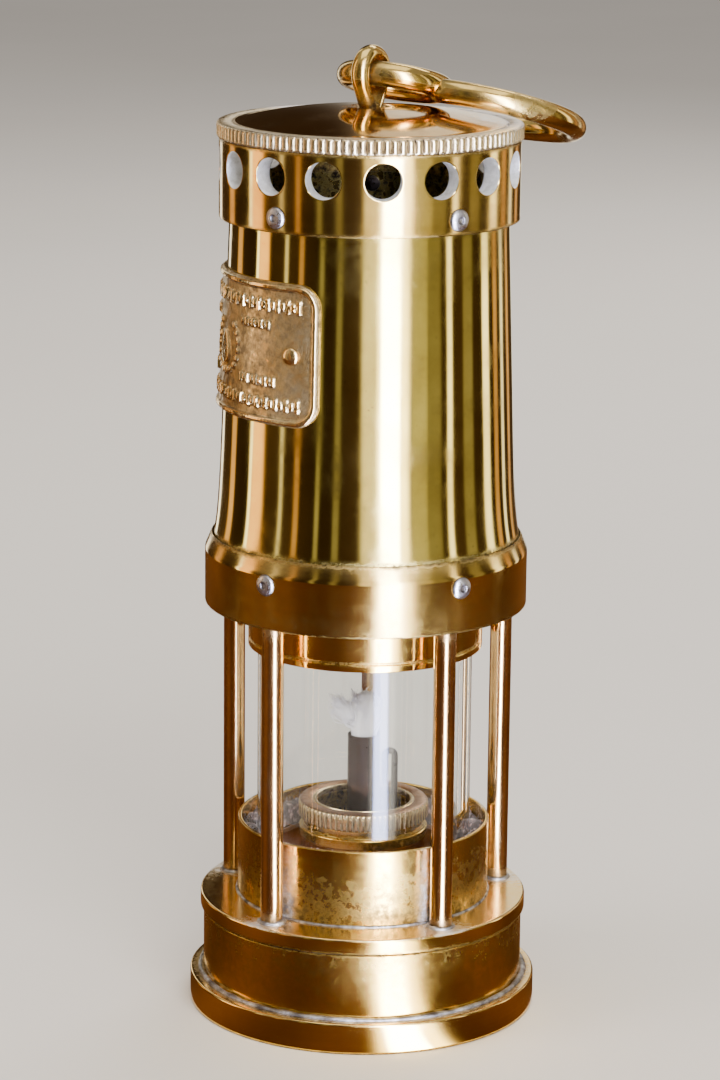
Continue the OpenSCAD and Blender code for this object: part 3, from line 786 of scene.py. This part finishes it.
shares = np.array([1, 0.75, 0.5, 0.28, 0.12, 0.04])
rounding = [(ventR - 0.02, 0.02), (ventR - 0.1, 0.0), (ventR - 0.3, -0.008)]
rowsOut = [wallPatch(ventR, s) for s in shares] + [wallPatch(r, s) for r, s in rounding]
inner = [(r, -0.01) for r in np.linspace(ventR - 0.8, vent["bore"] + 0.4, 5)]
rowsIn = [wallPatch(vent["bore"], s) for s in shares[::-1]]
patch = np.stack(rowsOut + [wallPatch(r, s) for r, s in inner] + rowsIn, axis=1)
count, rows, cols = patch.shape[:3]
quads = gridFaces(rows, cols)[None] + np.arange(count)[:, None, None] * rows * cols
holes = (patch.reshape(-1, 3), [quads.reshape(-1, 4)])
columnAngle = (middle[:, None] + line[None, :] * halfTurn).ravel()


def ringStrip(profile):
    # an open strip round the axis whose columns meet the patches' borders
    r, z = np.array(profile, float).T
    grid = np.stack(np.broadcast_arrays(r[:, None] * np.cos(columnAngle), r[:, None]
                                        * np.sin(columnAngle), z[:, None]), axis=-1)
    return grid.reshape(-1, 3), [gridFaces(len(r), len(columnAngle))]


def bezierRow(a, corner, c, parts=5):
    # points on the curve that rounds one corner
    t = np.linspace(0, 1, parts)[:, None]
    return (1 - t) ** 2 * np.array(a) + 2 * t * (1 - t) * np.array(corner) + t ** 2 * np.array(c)


e = vent["edge"]
bore = vent["bore"]
topStrip = np.concatenate([
    [(ventR, holeTop)], bezierRow((ventR, ventTop - e), (ventR, ventTop), (ventR - e, ventTop)),
    bezierRow((bore + e, ventTop), (bore, ventTop), (bore, ventTop - e)), [(bore, holeTop)]])
skirt = np.concatenate([
    [(bore, bandLow), (bore, vent["step"]), (vent["skirtBore"], vent["step"]),
     (vent["skirtBore"], ventZ), (ventR - 2 * e, ventZ)],
    bezierRow((ventR - e, ventZ), (ventR, ventZ), (ventR, ventZ + e)),
    [(ventR, ventZ + 1), (ventR, ventZ + 4), (ventR, bandLow)]])
points, faces = joined([holes, ringStrip(topStrip), ringStrip(skirt)])
_, keep, place = np.unique(np.round(points, 4), axis=0, return_index=True, return_inverse=True)
shape = (points[keep], [place.ravel()[f] for f in faces])
r = fromAxis(shape[0])
ringDirt = np.maximum(r < bore + 0.3,
                      nearJoints(shape[0], [(ventR, ventTop, 0.5), (ventR, ventZ, 0.4)]))


def holeWall(c):
    # the faces between the two walls, at the height of the holes
    r = fromAxis(c)
    return (r > vent["bore"] + 0.1) & (r < ventR - 0.12) & (
        np.abs(c[:, 2] - vent["holeZ"]) < vent["holeRadius"] + 0.1)


makePiece("ventRing", shape, "satinBrass", "frame", ["vent_ring"],
          ringDirt, sharp=32, second=("bareMetal", holeWall))
print("vent ring built")


def outward(points, angle, radius, height):
    # a part made along Z is laid on the wall: its Z points away from the axis
    n = np.array([sin(angle), -cos(angle), 0])
    side = np.cross([0, 0, 1], n)
    onWall = points[:, :1] * side + points[:, 1:2] * [0, 0, 1] + points[:, 2:] * n
    return onWall + n * radius + np.array([0, 0, height])


rivet = {"turn": 2, "head": [(0, 0.62), (0.72, 0.66), (0.84, 1.0), (1.05, 1.12), (1.7, 1.0),
                             (2.35, 0.68), (2.76, 0.2), (2.78, 0.03), (1.6, 0.03)]}
for name, node, wallR, height in (("shoulderRivets", "shoulder_rivets", ringR, 118.7),
                                  ("ventRivets", "vent_rivets", ventR, 209.8)):
    tail = float(bonnetR(np.array(max(height, 124.2)))) - 0.9 - 0.15 - wallR
    if height < 124:
        tail = 39.2 - 0.9 - 0.15 - wallR
    head = rivet["head"] + [(1.6, tail), (2.1, tail - 0.1), (1.9, tail - 1), (0, tail - 1.15)]
    one = turned(softened(head[::-1], 0.16, closed=False, parts=3), 28, closed=False)
    shells = []
    for i in range(5):
        a = radians(36 + 72 * i + rivet["turn"])
        shells.append((outward(one[0], a, wallR + 0.02, height), one[1]))
    shape = joined(shells)
    # painted shadow: a dark ring round each head's rim where it meets the wall; the dark mandrel in
    # the middle is its own colour, and the tail inside the wall is darkened
    mandrelAndRimShadow = np.tile(bell(fromAxis(one[0]) - 0.75, 0.28)
                   + bell(fromAxis(one[0]) - 2.8, 0.25)
                   + 2 * (one[0][:, 2] < -0.2), 5)
    makePiece(name, shape, "aluminium", "frame", [node], mandrelAndRimShadow)

badge = {"turn": -68, "halfSpan": 52, "middle": 176.05, "high": 35.3, "corner": 6.0, "border": 2.0,
         "relief": 0.7, "plate": 0.8, "lift": 0.12, "arcRadius": 36.6, "marks": 0.66,
         "screwTurn": 40.6}
badgeRows, badgeCols = 132, 250
halfS = radians(badge["halfSpan"]) * badge["arcRadius"]
halfZ = badge["high"] / 2
v, u = np.meshgrid(np.linspace(-1, 1, badgeRows), np.linspace(-1, 1, badgeCols), indexing="ij")
v = np.sign(v) * (1 - (1 - np.abs(v)) ** 1.15)
zIn = v * halfZ
past = np.maximum(np.abs(zIn) - (halfZ - badge["corner"]), 0)
inset = badge["corner"] - np.sqrt(np.maximum(badge["corner"] ** 2 - past ** 2, 0))
sIn = u * (halfS - inset)


def smooth(x):
    # 0 below 0, 1 above 1 and 3x^2 - 2x^3 between
    x = np.clip(x, 0, 1)
    return x * x * (3 - 2 * x)


def edgeDistance(s, z):
    # distance inwards from the outline of a rounded rectangle
    qs, qz = np.abs(s) - (halfS - badge["corner"]), np.abs(z) - (halfZ - badge["corner"])
    out = np.hypot(np.maximum(qs, 0), np.maximum(qz, 0)) + np.minimum(np.maximum(qs, qz), 0)
    return badge["corner"] - out


def beadAndBar(s, z, row, reach, high, pitch):
    # a row of upright bars with a round bead between each two
    inRow = smooth((reach - np.abs(s)) / 0.4)
    local = (s + pitch / 2) % pitch - pitch / 2
    bar = smooth((0.72 - np.abs(local)) / 0.3) * smooth((high / 2 - np.abs(z - row)) / 0.35)
    between = s % pitch - pitch / 2
    bead = smooth((0.27 * pitch - np.hypot(between, (z - row) * 0.62)) / 0.35)
    return np.maximum(bar, bead) * inRow


def flameMark(s, z):
    # a plain pointed flame inside a ring of short leaves
    wide = 2.7 * np.sqrt(np.clip(1 - ((z + 0.8) / 4.4) ** 2, 0, 1)) * (1 - 0.11 * (z + 0.8))
    flame = smooth((wide - np.abs(s)) / 0.5) * (np.abs(z + 0.8) < 4.4)
    r, a = np.hypot(s, z), np.arctan2(s, -z)
    leaf = np.abs(np.sin(a * 10)) ** 0.7
    wreath = smooth((1.15 * leaf - np.abs(r - 7.0)) / 0.4) * (np.abs(a) < 2.55)
    return np.maximum(flame, wreath * 0.9)


edge = edgeDistance(sIn, zIn)
border = smooth((edge - 0.12) / 0.55) * smooth((badge["border"] - edge) / 0.55)
marks = np.maximum.reduce([beadAndBar(sIn, zIn, 12.0, 28.8, 3.7, 3.1),
                           beadAndBar(sIn, zIn, 7.0, 19.5, 2.7, 2.7) * (np.abs(sIn) > 8.5),
                           beadAndBar(sIn, zIn, -7.0, 21.5, 3.0, 3.0) * (np.abs(sIn) > 8.5),
                           beadAndBar(sIn, zIn, -12.4, 29.0, 3.5, 3.1), flameMark(sIn, zIn)])
pounced = 0.035 * ripple(np.stack([sIn, zIn, 0 * sIn], axis=-1), 1.6, 61)
face = badge["plate"] + pounced + np.maximum(badge["relief"] * border, badge["marks"] * marks)
face = np.where(edge < 0.12, badge["plate"] * 0.9, face)


def onBonnet(lift):
    # (s, z) wrapped round the bonnet at a height above its surface
    a = radians(badge["turn"]) + sIn / badge["arcRadius"]
    z = badge["middle"] + zIn
    r = bonnetR(z) + badge["lift"] + lift
    return np.stack([r * np.sin(a), -r * np.cos(a), z], axis=-1).reshape(-1, 3)


front, backSide = onBonnet(face), onBonnet(np.zeros_like(face))
quads = gridFaces(badgeRows, badgeCols, wrapCols=False)
index = np.arange(badgeRows * badgeCols).reshape(badgeRows, badgeCols)
loop = np.concatenate([index[0, :-1], index[:-1, -1], index[-1, :0:-1], index[:0:-1, 0]])
ahead = np.roll(loop, -1)
size = badgeRows * badgeCols
sides = np.stack([loop, loop + size, ahead + size, ahead], axis=1)
shape = (np.concatenate([front, backSide]), [quads, quads[:, ::-1] + size, sides])
raised = np.maximum(border, marks)
hollow = 0.62 * (1 - raised) + 0.55 * bell(raised - 0.25, 0.22)
badgeDirt = np.concatenate([hollow.ravel(), np.ones(size)])
makePiece("badgePlate", shape, "castBrass", "frame", ["badge_plate"],
          badgeDirt, sharp=60)

screwHead = [(0, 0.02), (2.2, 0.02), (2.2, 0.5), (1.75, 0.9), (1.0, 1.18), (0, 1.25)]
one = turned(softened(screwHead, 0.2, closed=False), 32, closed=False)
screws = []
for side in (-1, 1):
    a = radians(badge["turn"] + side * badge["screwTurn"])
    screws.append((outward(one[0], a, float(bonnetR(np.array(badge["middle"]))) + 1.0,
                           badge["middle"]), one[1]))
shape = joined(screws)
makePiece("badgeScrews", shape, "castBrass", "frame", ["badge_screws"])
print("rivets and badge built")


lid = {"flutes": 120, "depth": 0.55, "perFlute": 8, "domeRadius": 33.3, "rise": 3.8,
       "hole": 2.45, "line": 34.6}
lidR, lidZ, lidTop = extent("lid")[0], ventTop + 0.05, 230.0


def domeZ(r):
    # the dome falls with the square of the radius
    return lidTop + lid["rise"] * (1 - (r / lid["domeRadius"]) ** 2)


def grooveDepth(count, angle):
    # 0 on each ridge and 1 in each groove: 1 - |cos(count angle / 2)|^0.55
    return 1 - np.abs(np.cos(count * angle / 2)) ** 0.55


def fluted(count, depth, low, high, inner):
    # grooves cut into the rim: r - depth times the groove, run out towards both edges
    def wave(r, z, angle):
        ends = smooth((z - low) / 0.5) * smooth((high - z) / 0.5) * smooth((r - inner) / 0.25)
        return r - depth * grooveDepth(count, angle) * ends
    return wave


r = np.linspace(lid["domeRadius"], 5.0, 26)
domeRows = np.column_stack([r, domeZ(r)])
rimFlat = lidTop - 0.02
profile = np.concatenate([
    [(20, 230.2), (30.6, 228), (30.6, ventTop - 1.5), (32.7, ventTop - 1.5), (32.7, lidZ),
     (lidR - 0.6, lidZ), (lidR - 0.25, lidZ + 0.12), (lidR - 0.05, lidZ + 0.4)],
    [(lidR, z) for z in np.linspace(lidZ + 0.6, lidTop - 0.75, 7)],
    [(lidR - 0.06, lidTop - 0.5), (lidR - 0.3, lidTop - 0.2), (lidR - 0.65, lidTop - 0.05),
     (lidR - 1.1, rimFlat), (lid["line"] + 0.4, rimFlat), (lid["line"] + 0.25, rimFlat - 0.2),
     (lid["line"] - 0.1, rimFlat - 0.2), (lid["line"] - 0.25, rimFlat),
     (lid["domeRadius"] + 0.5, rimFlat)],
    domeRows, [(4.1, domeZ(4.1) - 0.2), (lid["hole"], 231.5), (lid["hole"], 228.5), (6, 228.5),
               (6.5, 231.4)]])
shape = turned(profile, lid["flutes"] * lid["perFlute"],
               wave=fluted(lid["flutes"], lid["depth"], lidZ + 0.1, lidTop - 0.1, lidR - 1.4))
rDirt = fromAxis(shape[0])
lidAngle = np.arctan2(shape[0][:, 1], shape[0][:, 0])
groove = grooveDepth(lid["flutes"], lidAngle) * (rDirt > lidR - 1.0)
lidDirt = np.maximum(nearJoints(shape[0], [(lid["line"], rimFlat, 0.5), (3.5, 233, 2.5),
                                           (lidR, lidZ, 0.5)]), 1.25 * groove)
# painted sheen: the pale haze is laid mostly on the far right of the top, where the light catches
# the lid, with a thin ring of haze at the rim
farSide = smooth((shape[0][:, 1] + 0.6 * shape[0][:, 0] - 2) / 14)
lidHazeAndSheen = (1.5 * smooth((rDirt - 21) / 8) * farSide + 0.4 * bell(rDirt - 36, 2)) * (
    shape[0][:, 2] > 229.5)
makePiece("knurledLid", shape, "knurledBrass", "lid", ["lid"], lidDirt,
          sharp=60, haze_and_sheen=lidHazeAndSheen, second=("domeBrass", lambda c: (
              fromAxis(c) < lid["domeRadius"] + 0.3) & (c[:, 2] > 229.8)))
print("lid built")


eye = {"height": 242, "inside": 4.6, "half": 2.4, "turn": -30, "lean": 28}
lean = radians(eye["lean"])
bend = np.linspace(-lean, pi + lean, 61)
arcX, arcZ = eye["inside"] * np.cos(bend), eye["height"] + eye["inside"] * np.sin(bend)
legs = np.linspace(7.2, 0.3, 10)[:, None]
down = np.array([-sin(lean), -cos(lean)])
rightLeg = np.array([arcX[0], arcZ[0]]) + legs * down
leftLeg = (np.array([arcX[-1], arcZ[-1]]) + legs * down * [-1, 1])[::-1]
flat = np.concatenate([rightLeg, np.column_stack([arcX, arcZ]), leftLeg])
plane = radians(eye["turn"] + 90)
across = np.array([cos(plane), sin(plane), 0])
path = flat[:, :1] * across + np.column_stack([0 * flat[:, 0], 0 * flat[:, 0], flat[:, 1]])
u = np.linspace(-pi / 2, pi / 2, 15)
outU = np.concatenate([0.10 + 0.90 * np.cos(u), [0.04, 0.0, 0.0, 0.04]])
overU = np.concatenate([np.sin(u), [0.97, 0.85, -0.85, -0.97]])
normal = np.cross([0, 0, 1], across)
shape = tubes(path[None], eye["half"], side=normal, section=(-outU, overU))
shank = [(0, 226.9), (3.4, 226.9), (3.4, 227.6), (2.4, 227.95), (2.4, 234.2), (1.6, 234.7),
         (0, 234.8)]
shankShape = turned(softened(shank, 0.2, closed=False), 32, closed=False)
shape = joined([shape, shankShape])
eyeDirt = bell(shape[0][:, 2] - 234.5, 2.2)
makePiece("eyeLoop", shape, "forgedBrass", "eye", ["eye"], eyeDirt)

hook = {"ringRadius": 11.8, "ringBar": 3.2, "dip": 16, "arcRadius": 22, "arcBar": 3.1,
        "arcCentre": (29.2, 19.8, 230.75), "arcTurn": 53.4, "arcDip": 17.8, "from": -183, "to": 38}


def spun(points, degrees, axis):
    # points turned about X, Y or Z through the origin
    return points @ np.array(Matrix.Rotation(radians(degrees), 3, axis)).T


path = circle(hook["ringRadius"], 0, 160, (hook["ringRadius"], 0))
path = spun(spun(path, hook["dip"], "Y"), eye["turn"] + 90, "Z") + [0, 0, eye["height"]]
ringUp = spun(spun(np.array([[0, 0, 1.0]]), hook["dip"], "Y"), eye["turn"] + 90, "Z")[0]
bar = hook["ringBar"] * (1 - 0.012 + 0.012 * ripple(path, 9, 71))
shape = tubes(path[None], bar[None], 32, side=ringUp, closed=True)
# painted shadow: the ring is darkened where it passes through the eye
eyeShadow = bell(np.linalg.norm(shape[0] - [0, 0, eye["height"]], axis=1) - 3, 3.5)
makePiece("hookRing", shape, "forgedBrass", "hook", ["hook_ring"],
          0.6 * eyeShadow)

turnOf = np.radians(np.linspace(hook["from"], hook["to"], 190))
path = np.stack([hook["arcRadius"] * np.cos(turnOf), hook["arcRadius"] * np.sin(turnOf),
                 0 * turnOf], axis=1)
path = spun(spun(path, hook["arcDip"], "Y"), hook["arcTurn"], "Z") + hook["arcCentre"]
arcUp = spun(spun(np.array([[0, 0, 1.0]]), hook["arcDip"], "Y"), hook["arcTurn"], "Z")[0]
length = np.linspace(0, radians(hook["to"] - hook["from"]) * hook["arcRadius"], 190)
tip = np.minimum(length[-1] - length, 3.1) / 3.1      # a round nose on the hook's tip
root = np.minimum(length, 2.0) / 2.0
bar = hook["arcBar"] * (0.988 + 0.012 * ripple(path, 9, 72)) * np.sqrt(1 - (1 - tip) ** 2 * 0.998) \
    * (0.6 + 0.4 * np.sqrt(1 - (1 - root) ** 2))
shape = tubes(path[None], bar[None], 32, side=arcUp)
makePiece("hookArc", shape, "forgedBrass", "hook", ["hook_arc"],
          0.5 * (ripple(shape[0], 11, 73) > 0.6))
print("eye and hook built")


nut = {"flutes": 70, "depth": 0.4, "perFlute": 8}
nutR, nutZ, nutTop = extent("burner_nut")
profile = np.concatenate([
    [(13.9, nutZ), (nutR - 0.7, nutZ), (nutR - 0.25, nutZ + 0.1), (nutR - 0.05, nutZ + 0.4)],
    [(nutR, z) for z in np.linspace(nutZ + 0.7, nutTop - 0.9, 6)],
    [(nutR - 0.08, nutTop - 0.5), (nutR - 0.35, nutTop - 0.15), (nutR - 0.8, nutTop - 0.02),
     (nutR - 1.2, nutTop), (13.5, nutTop), (13.3, nutTop - 0.22), (12.9, nutTop - 0.22),
     (12.75, nutTop), (12.4, nutTop), (12.15, nutTop - 0.2), (12.1, nutTop - 0.5), (12.1, 53.1),
     (13.9, 53.1)]])
shape = turned(profile, nut["flutes"] * nut["perFlute"],
               wave=fluted(nut["flutes"], nut["depth"], nutZ + 0.1, nutTop - 0.1, nutR - 1.3))
r = fromAxis(shape[0])
angleOf = np.arctan2(shape[0][:, 1], shape[0][:, 0])
groove = grooveDepth(nut["flutes"], angleOf) * (r > nutR - 1.0)
makePiece("burnerNut", shape, "knurledBrass", "burner_nut", ["burner_nut"],
          np.maximum(1.1 * groove, r < 12.3),
          second=("brownedBrass", lambda c: (c[:, 2] > nutTop - 0.3) & (
              np.abs(fromAxis(c) - 14.8) < 1.5)))

baseR, baseZ, baseTop = extent("burner_base")
base = {"bore": 12.6, "flange": 2.8, "collar": 15.5, "neck": 13.8, "gap": 0.15, "edge": 0.3}
flangeTop, neckZ = baseZ + base["flange"], nutZ - base["gap"]
shape = turned(softened([
    (base["bore"], baseZ), (baseR, baseZ), (baseR, flangeTop), (base["collar"], flangeTop),
    (base["collar"], neckZ), (base["neck"], neckZ), (base["neck"], baseTop),
    (base["bore"], baseTop)], base["edge"]), 128)
makePiece("burnerBase", shape, "goldBrass", "vessel", ["burner_base"],
          np.maximum(nearJoints(shape[0], [(base["collar"], flangeTop, 0.7)]),
                     fromAxis(shape[0]) < 14))

tubeR, tubeZ, tubeTop = extent("wick_tube")
tube = {"wall": 0.7, "edge": 0.2}
shape = sleeve(tubeR - tube["wall"], tubeR, tubeZ, tubeTop, tube["edge"], 64)
makePiece("wickTube", shape, "nickel", "vessel", ["wick_tube"],
          0.8 * bell(shape[0][:, 2] - tubeTop, 3.5))

pricker = {"x": 8, "reach": 2.55, "radius": 0.85, "top": 67.9, "tip": 57.5, "foot": 1.2}
half = pricker["reach"] / 2
bendZ = pricker["top"] - half - pricker["radius"]
over = np.linspace(0, pi, 20)
rise = np.linspace(pricker["foot"], bendZ - 0.4, 30)
fall = np.linspace(bendZ - 0.4, pricker["tip"], 14)
x = np.concatenate([0 * rise + half, half * np.cos(over), 0 * fall - half]) + pricker["x"] - half
z = np.concatenate([rise, bendZ + half * np.sin(over), fall])
path = np.stack([x, 0 * x, z], axis=1)
size = np.full(len(x), pricker["radius"])
size[-8:] = pricker["radius"] * np.array([1, 0.97, 0.92, 0.84, 0.72, 0.56, 0.4, 0.25])
shape = tubes(path[None], size[None], 16, side=(0, 1, 0))
makePiece("prickerWire", shape, "steel", "pricker", ["pricker"])

wick = {"radius": 3.3, "foot": 14, "mouth": 71.5, "strands": 330, "thick": 0.13, "seed": 7}
rng = np.random.default_rng(wick["seed"])
core = [(0, wick["foot"]), (wick["radius"], wick["foot"])]
core += [(wick["radius"], z) for z in np.linspace(20, wick["mouth"], 8)]
core += [(3.8, 73), (4.3, 75), (4.4, 77), (4.1, 79), (3.5, 80.8), (2.4, 82), (1.2, 82.6), (0, 82.8)]


def frayed(r, z, angle):
    # the tuft's core is lumpy and has ridges that run up it, where the cotton has parted
    where = np.stack(np.broadcast_arrays(6 * np.cos(angle), 6 * np.sin(angle), z), axis=-1)
    loose = smooth((z - wick["mouth"]) / 3)
    return r * (1 - loose * (0.10 + 0.16 * ripple(where, 5, 81) + 0.06 * ripple(where, 1.6, 82)))


coreShape = turned(core, 72, closed=False, wave=frayed)
coreShape[0][:, 0] += 0.35 * smooth((coreShape[0][:, 2] - wick["mouth"]) / 6)
lobeRows = np.linspace(0, 1, 16)
lobePath = np.stack([-3.2 - 5.0 * lobeRows, -0.6 - 0.6 * lobeRows, 76.2 + 5.2 * lobeRows
                     - 1.8 * lobeRows ** 2], axis=1)
lobeSize = 2.6 * np.sqrt(np.maximum(1 - lobeRows ** 2.4, 0.0)) * (1 - 0.35 * lobeRows) + 0.02
lobe = tubes(lobePath[None], lobeSize[None], 24, side=(0, 1, 0))
lobe[0][:] += 0.35 * ripple(lobe[0], 2.2, 83)[:, None] * np.array([0.6, 1, 1])


def strandPaths(starts, ends, curl, rows=9):
    # each strand goes from start to end, bowed by some sin(pi t) and curled by some sin(2 pi t)
    t = np.linspace(0, 1, rows)[None, :, None]
    bow = rng.normal(size=(len(starts), 1, 3)) * curl
    twist = rng.normal(size=(len(starts), 1, 3)) * curl * 0.6
    straight = starts[:, None] * (1 - t) + ends[:, None] * t
    return straight + bow * np.sin(pi * t) + twist * np.sin(tau * t)


def around(radius, angle, z):
    # points with x = radius cos(angle) and y = radius sin(angle) at height z
    return np.stack([radius * np.cos(angle), radius * np.sin(angle), z], axis=1)


strandSide = (0.31, 0.95, 0.05)     # no strand lies along this direction
many = wick["strands"]
aim = rng.uniform(0, tau, many)
climb = rng.uniform(0, 1, many)
starts = around(2.9, aim, 72 + 5 * climb)
spread = rng.uniform(2.6, 4.7, many)
ends = np.stack([0.4 + spread * np.cos(aim + rng.normal(0, 0.5, many)),
                 spread * np.sin(aim + rng.normal(0, 0.5, many)),
                 77.5 + 5.5 * rng.uniform(0, 1, many) ** 0.8], axis=1)
toLobe = rng.uniform(0, 1, many) < 0.4
ends[toLobe] = np.stack([rng.uniform(-9.4, -5.2, many), rng.normal(-0.8, 1.5, many),
                         rng.uniform(76.6, 82.5, many)], axis=1)[toLobe]
starts[toLobe, 0] = -np.abs(starts[toLobe, 0])
paths = strandPaths(starts, ends, 0.55)
taper = wick["thick"] * rng.uniform(0.6, 1.5, (many, 1)) * (1 - 0.6 * np.linspace(0, 1, 9))
fibres = tubes(paths, taper, 5, side=strandSide)
shape = joined([coreShape, lobe, fibres])
shape[0][:, 2] = np.minimum(shape[0][:, 2], 84)
char = bell(shape[0][:, 0] + 2.4, 2.0) * smooth((shape[0][:, 2] - 78.6) / 3.2)
char = np.maximum(char, smooth((shape[0][:, 2] - 81.5) / 2.5) * 0.7)
makePiece("wickTuft", shape, "cotton", "wick", ["wick"], char, sharp=80)

# torn fibre packing between the glass and the cup
packing = {"inner": 27.75, "outer": 31.45, "low": 40.05, "high": 47.6, "edge": 0.9,
           "strands": 420}
shape = sleeve(*(packing[key] for key in ("inner", "outer", "low", "high", "edge")), 260)
lift = (shape[0][:, 2] > packing["high"] - 2)
torn = ripple(shape[0], 8, 91) * 0.55 + ripple(shape[0], 2.4, 92) * 0.3 - 0.9
shape[0][:, 2] += lift * torn
aim = rng.uniform(0, tau, packing["strands"])
frontLeft = rng.uniform(0, 1, len(aim)) < 0.55
aim[frontLeft] = rng.normal(radians(-90 - 36), 0.42, frontLeft.sum())
depth = rng.uniform(packing["inner"] + 0.25, packing["outer"] - 0.3, len(aim))
starts = around(depth, aim, rng.uniform(45, 46.6, len(aim)))
swing = aim + rng.normal(0, 0.05, len(aim))
depth = np.clip(depth + rng.normal(0, 0.8, len(aim)), packing["inner"] + 0.2,
                packing["outer"] - 0.2)
ends = around(depth, swing, rng.uniform(46.8, 48.3, len(aim)))
fuzz = tubes(strandPaths(starts, ends, 0.12, 6), np.full((len(aim), 6), 0.12), 5,
             side=strandSide)
shape = joined([shape, fuzz])
aim = np.arctan2(shape[0][:, 1], shape[0][:, 0]) - radians(-90 - 30)
dark = 1.6 * smooth((np.abs((aim + pi) % tau - pi) - 0.32) / 0.35)
makePiece("cupPacking", shape, "fibre", "frame", ["cup_packing"], dark,
          sharp=80)
print("burner, wick and packing built")


# finishes of the CAD nodes that stay
kept = {
    "warmBrass": ["vessel_deck", "vessel_neck", "vessel_floor", "filler_plug", "pricker_packing",
                  "pricker_knob", "pricker_guide", "gauze_flange", "eye_washer"],
    "brownedBrass": ["glass_seat"],
    "leather": ["filler_washer", "burner_washer", "pricker_washer", "lower_glass_washer",
                "upper_glass_washer"],
    "rubber": ["vessel_seal"],
    "soot": ["wick_plate"],
    "gauze": ["inner_gauze", "outer_gauze"],
}
for look, names in kept.items():
    for name in names:
        for slotOf in nodes[name].material_slots:
            slotOf.material = finish[look]
print("kept nodes:", sum(len(names) for names in kept.values()))
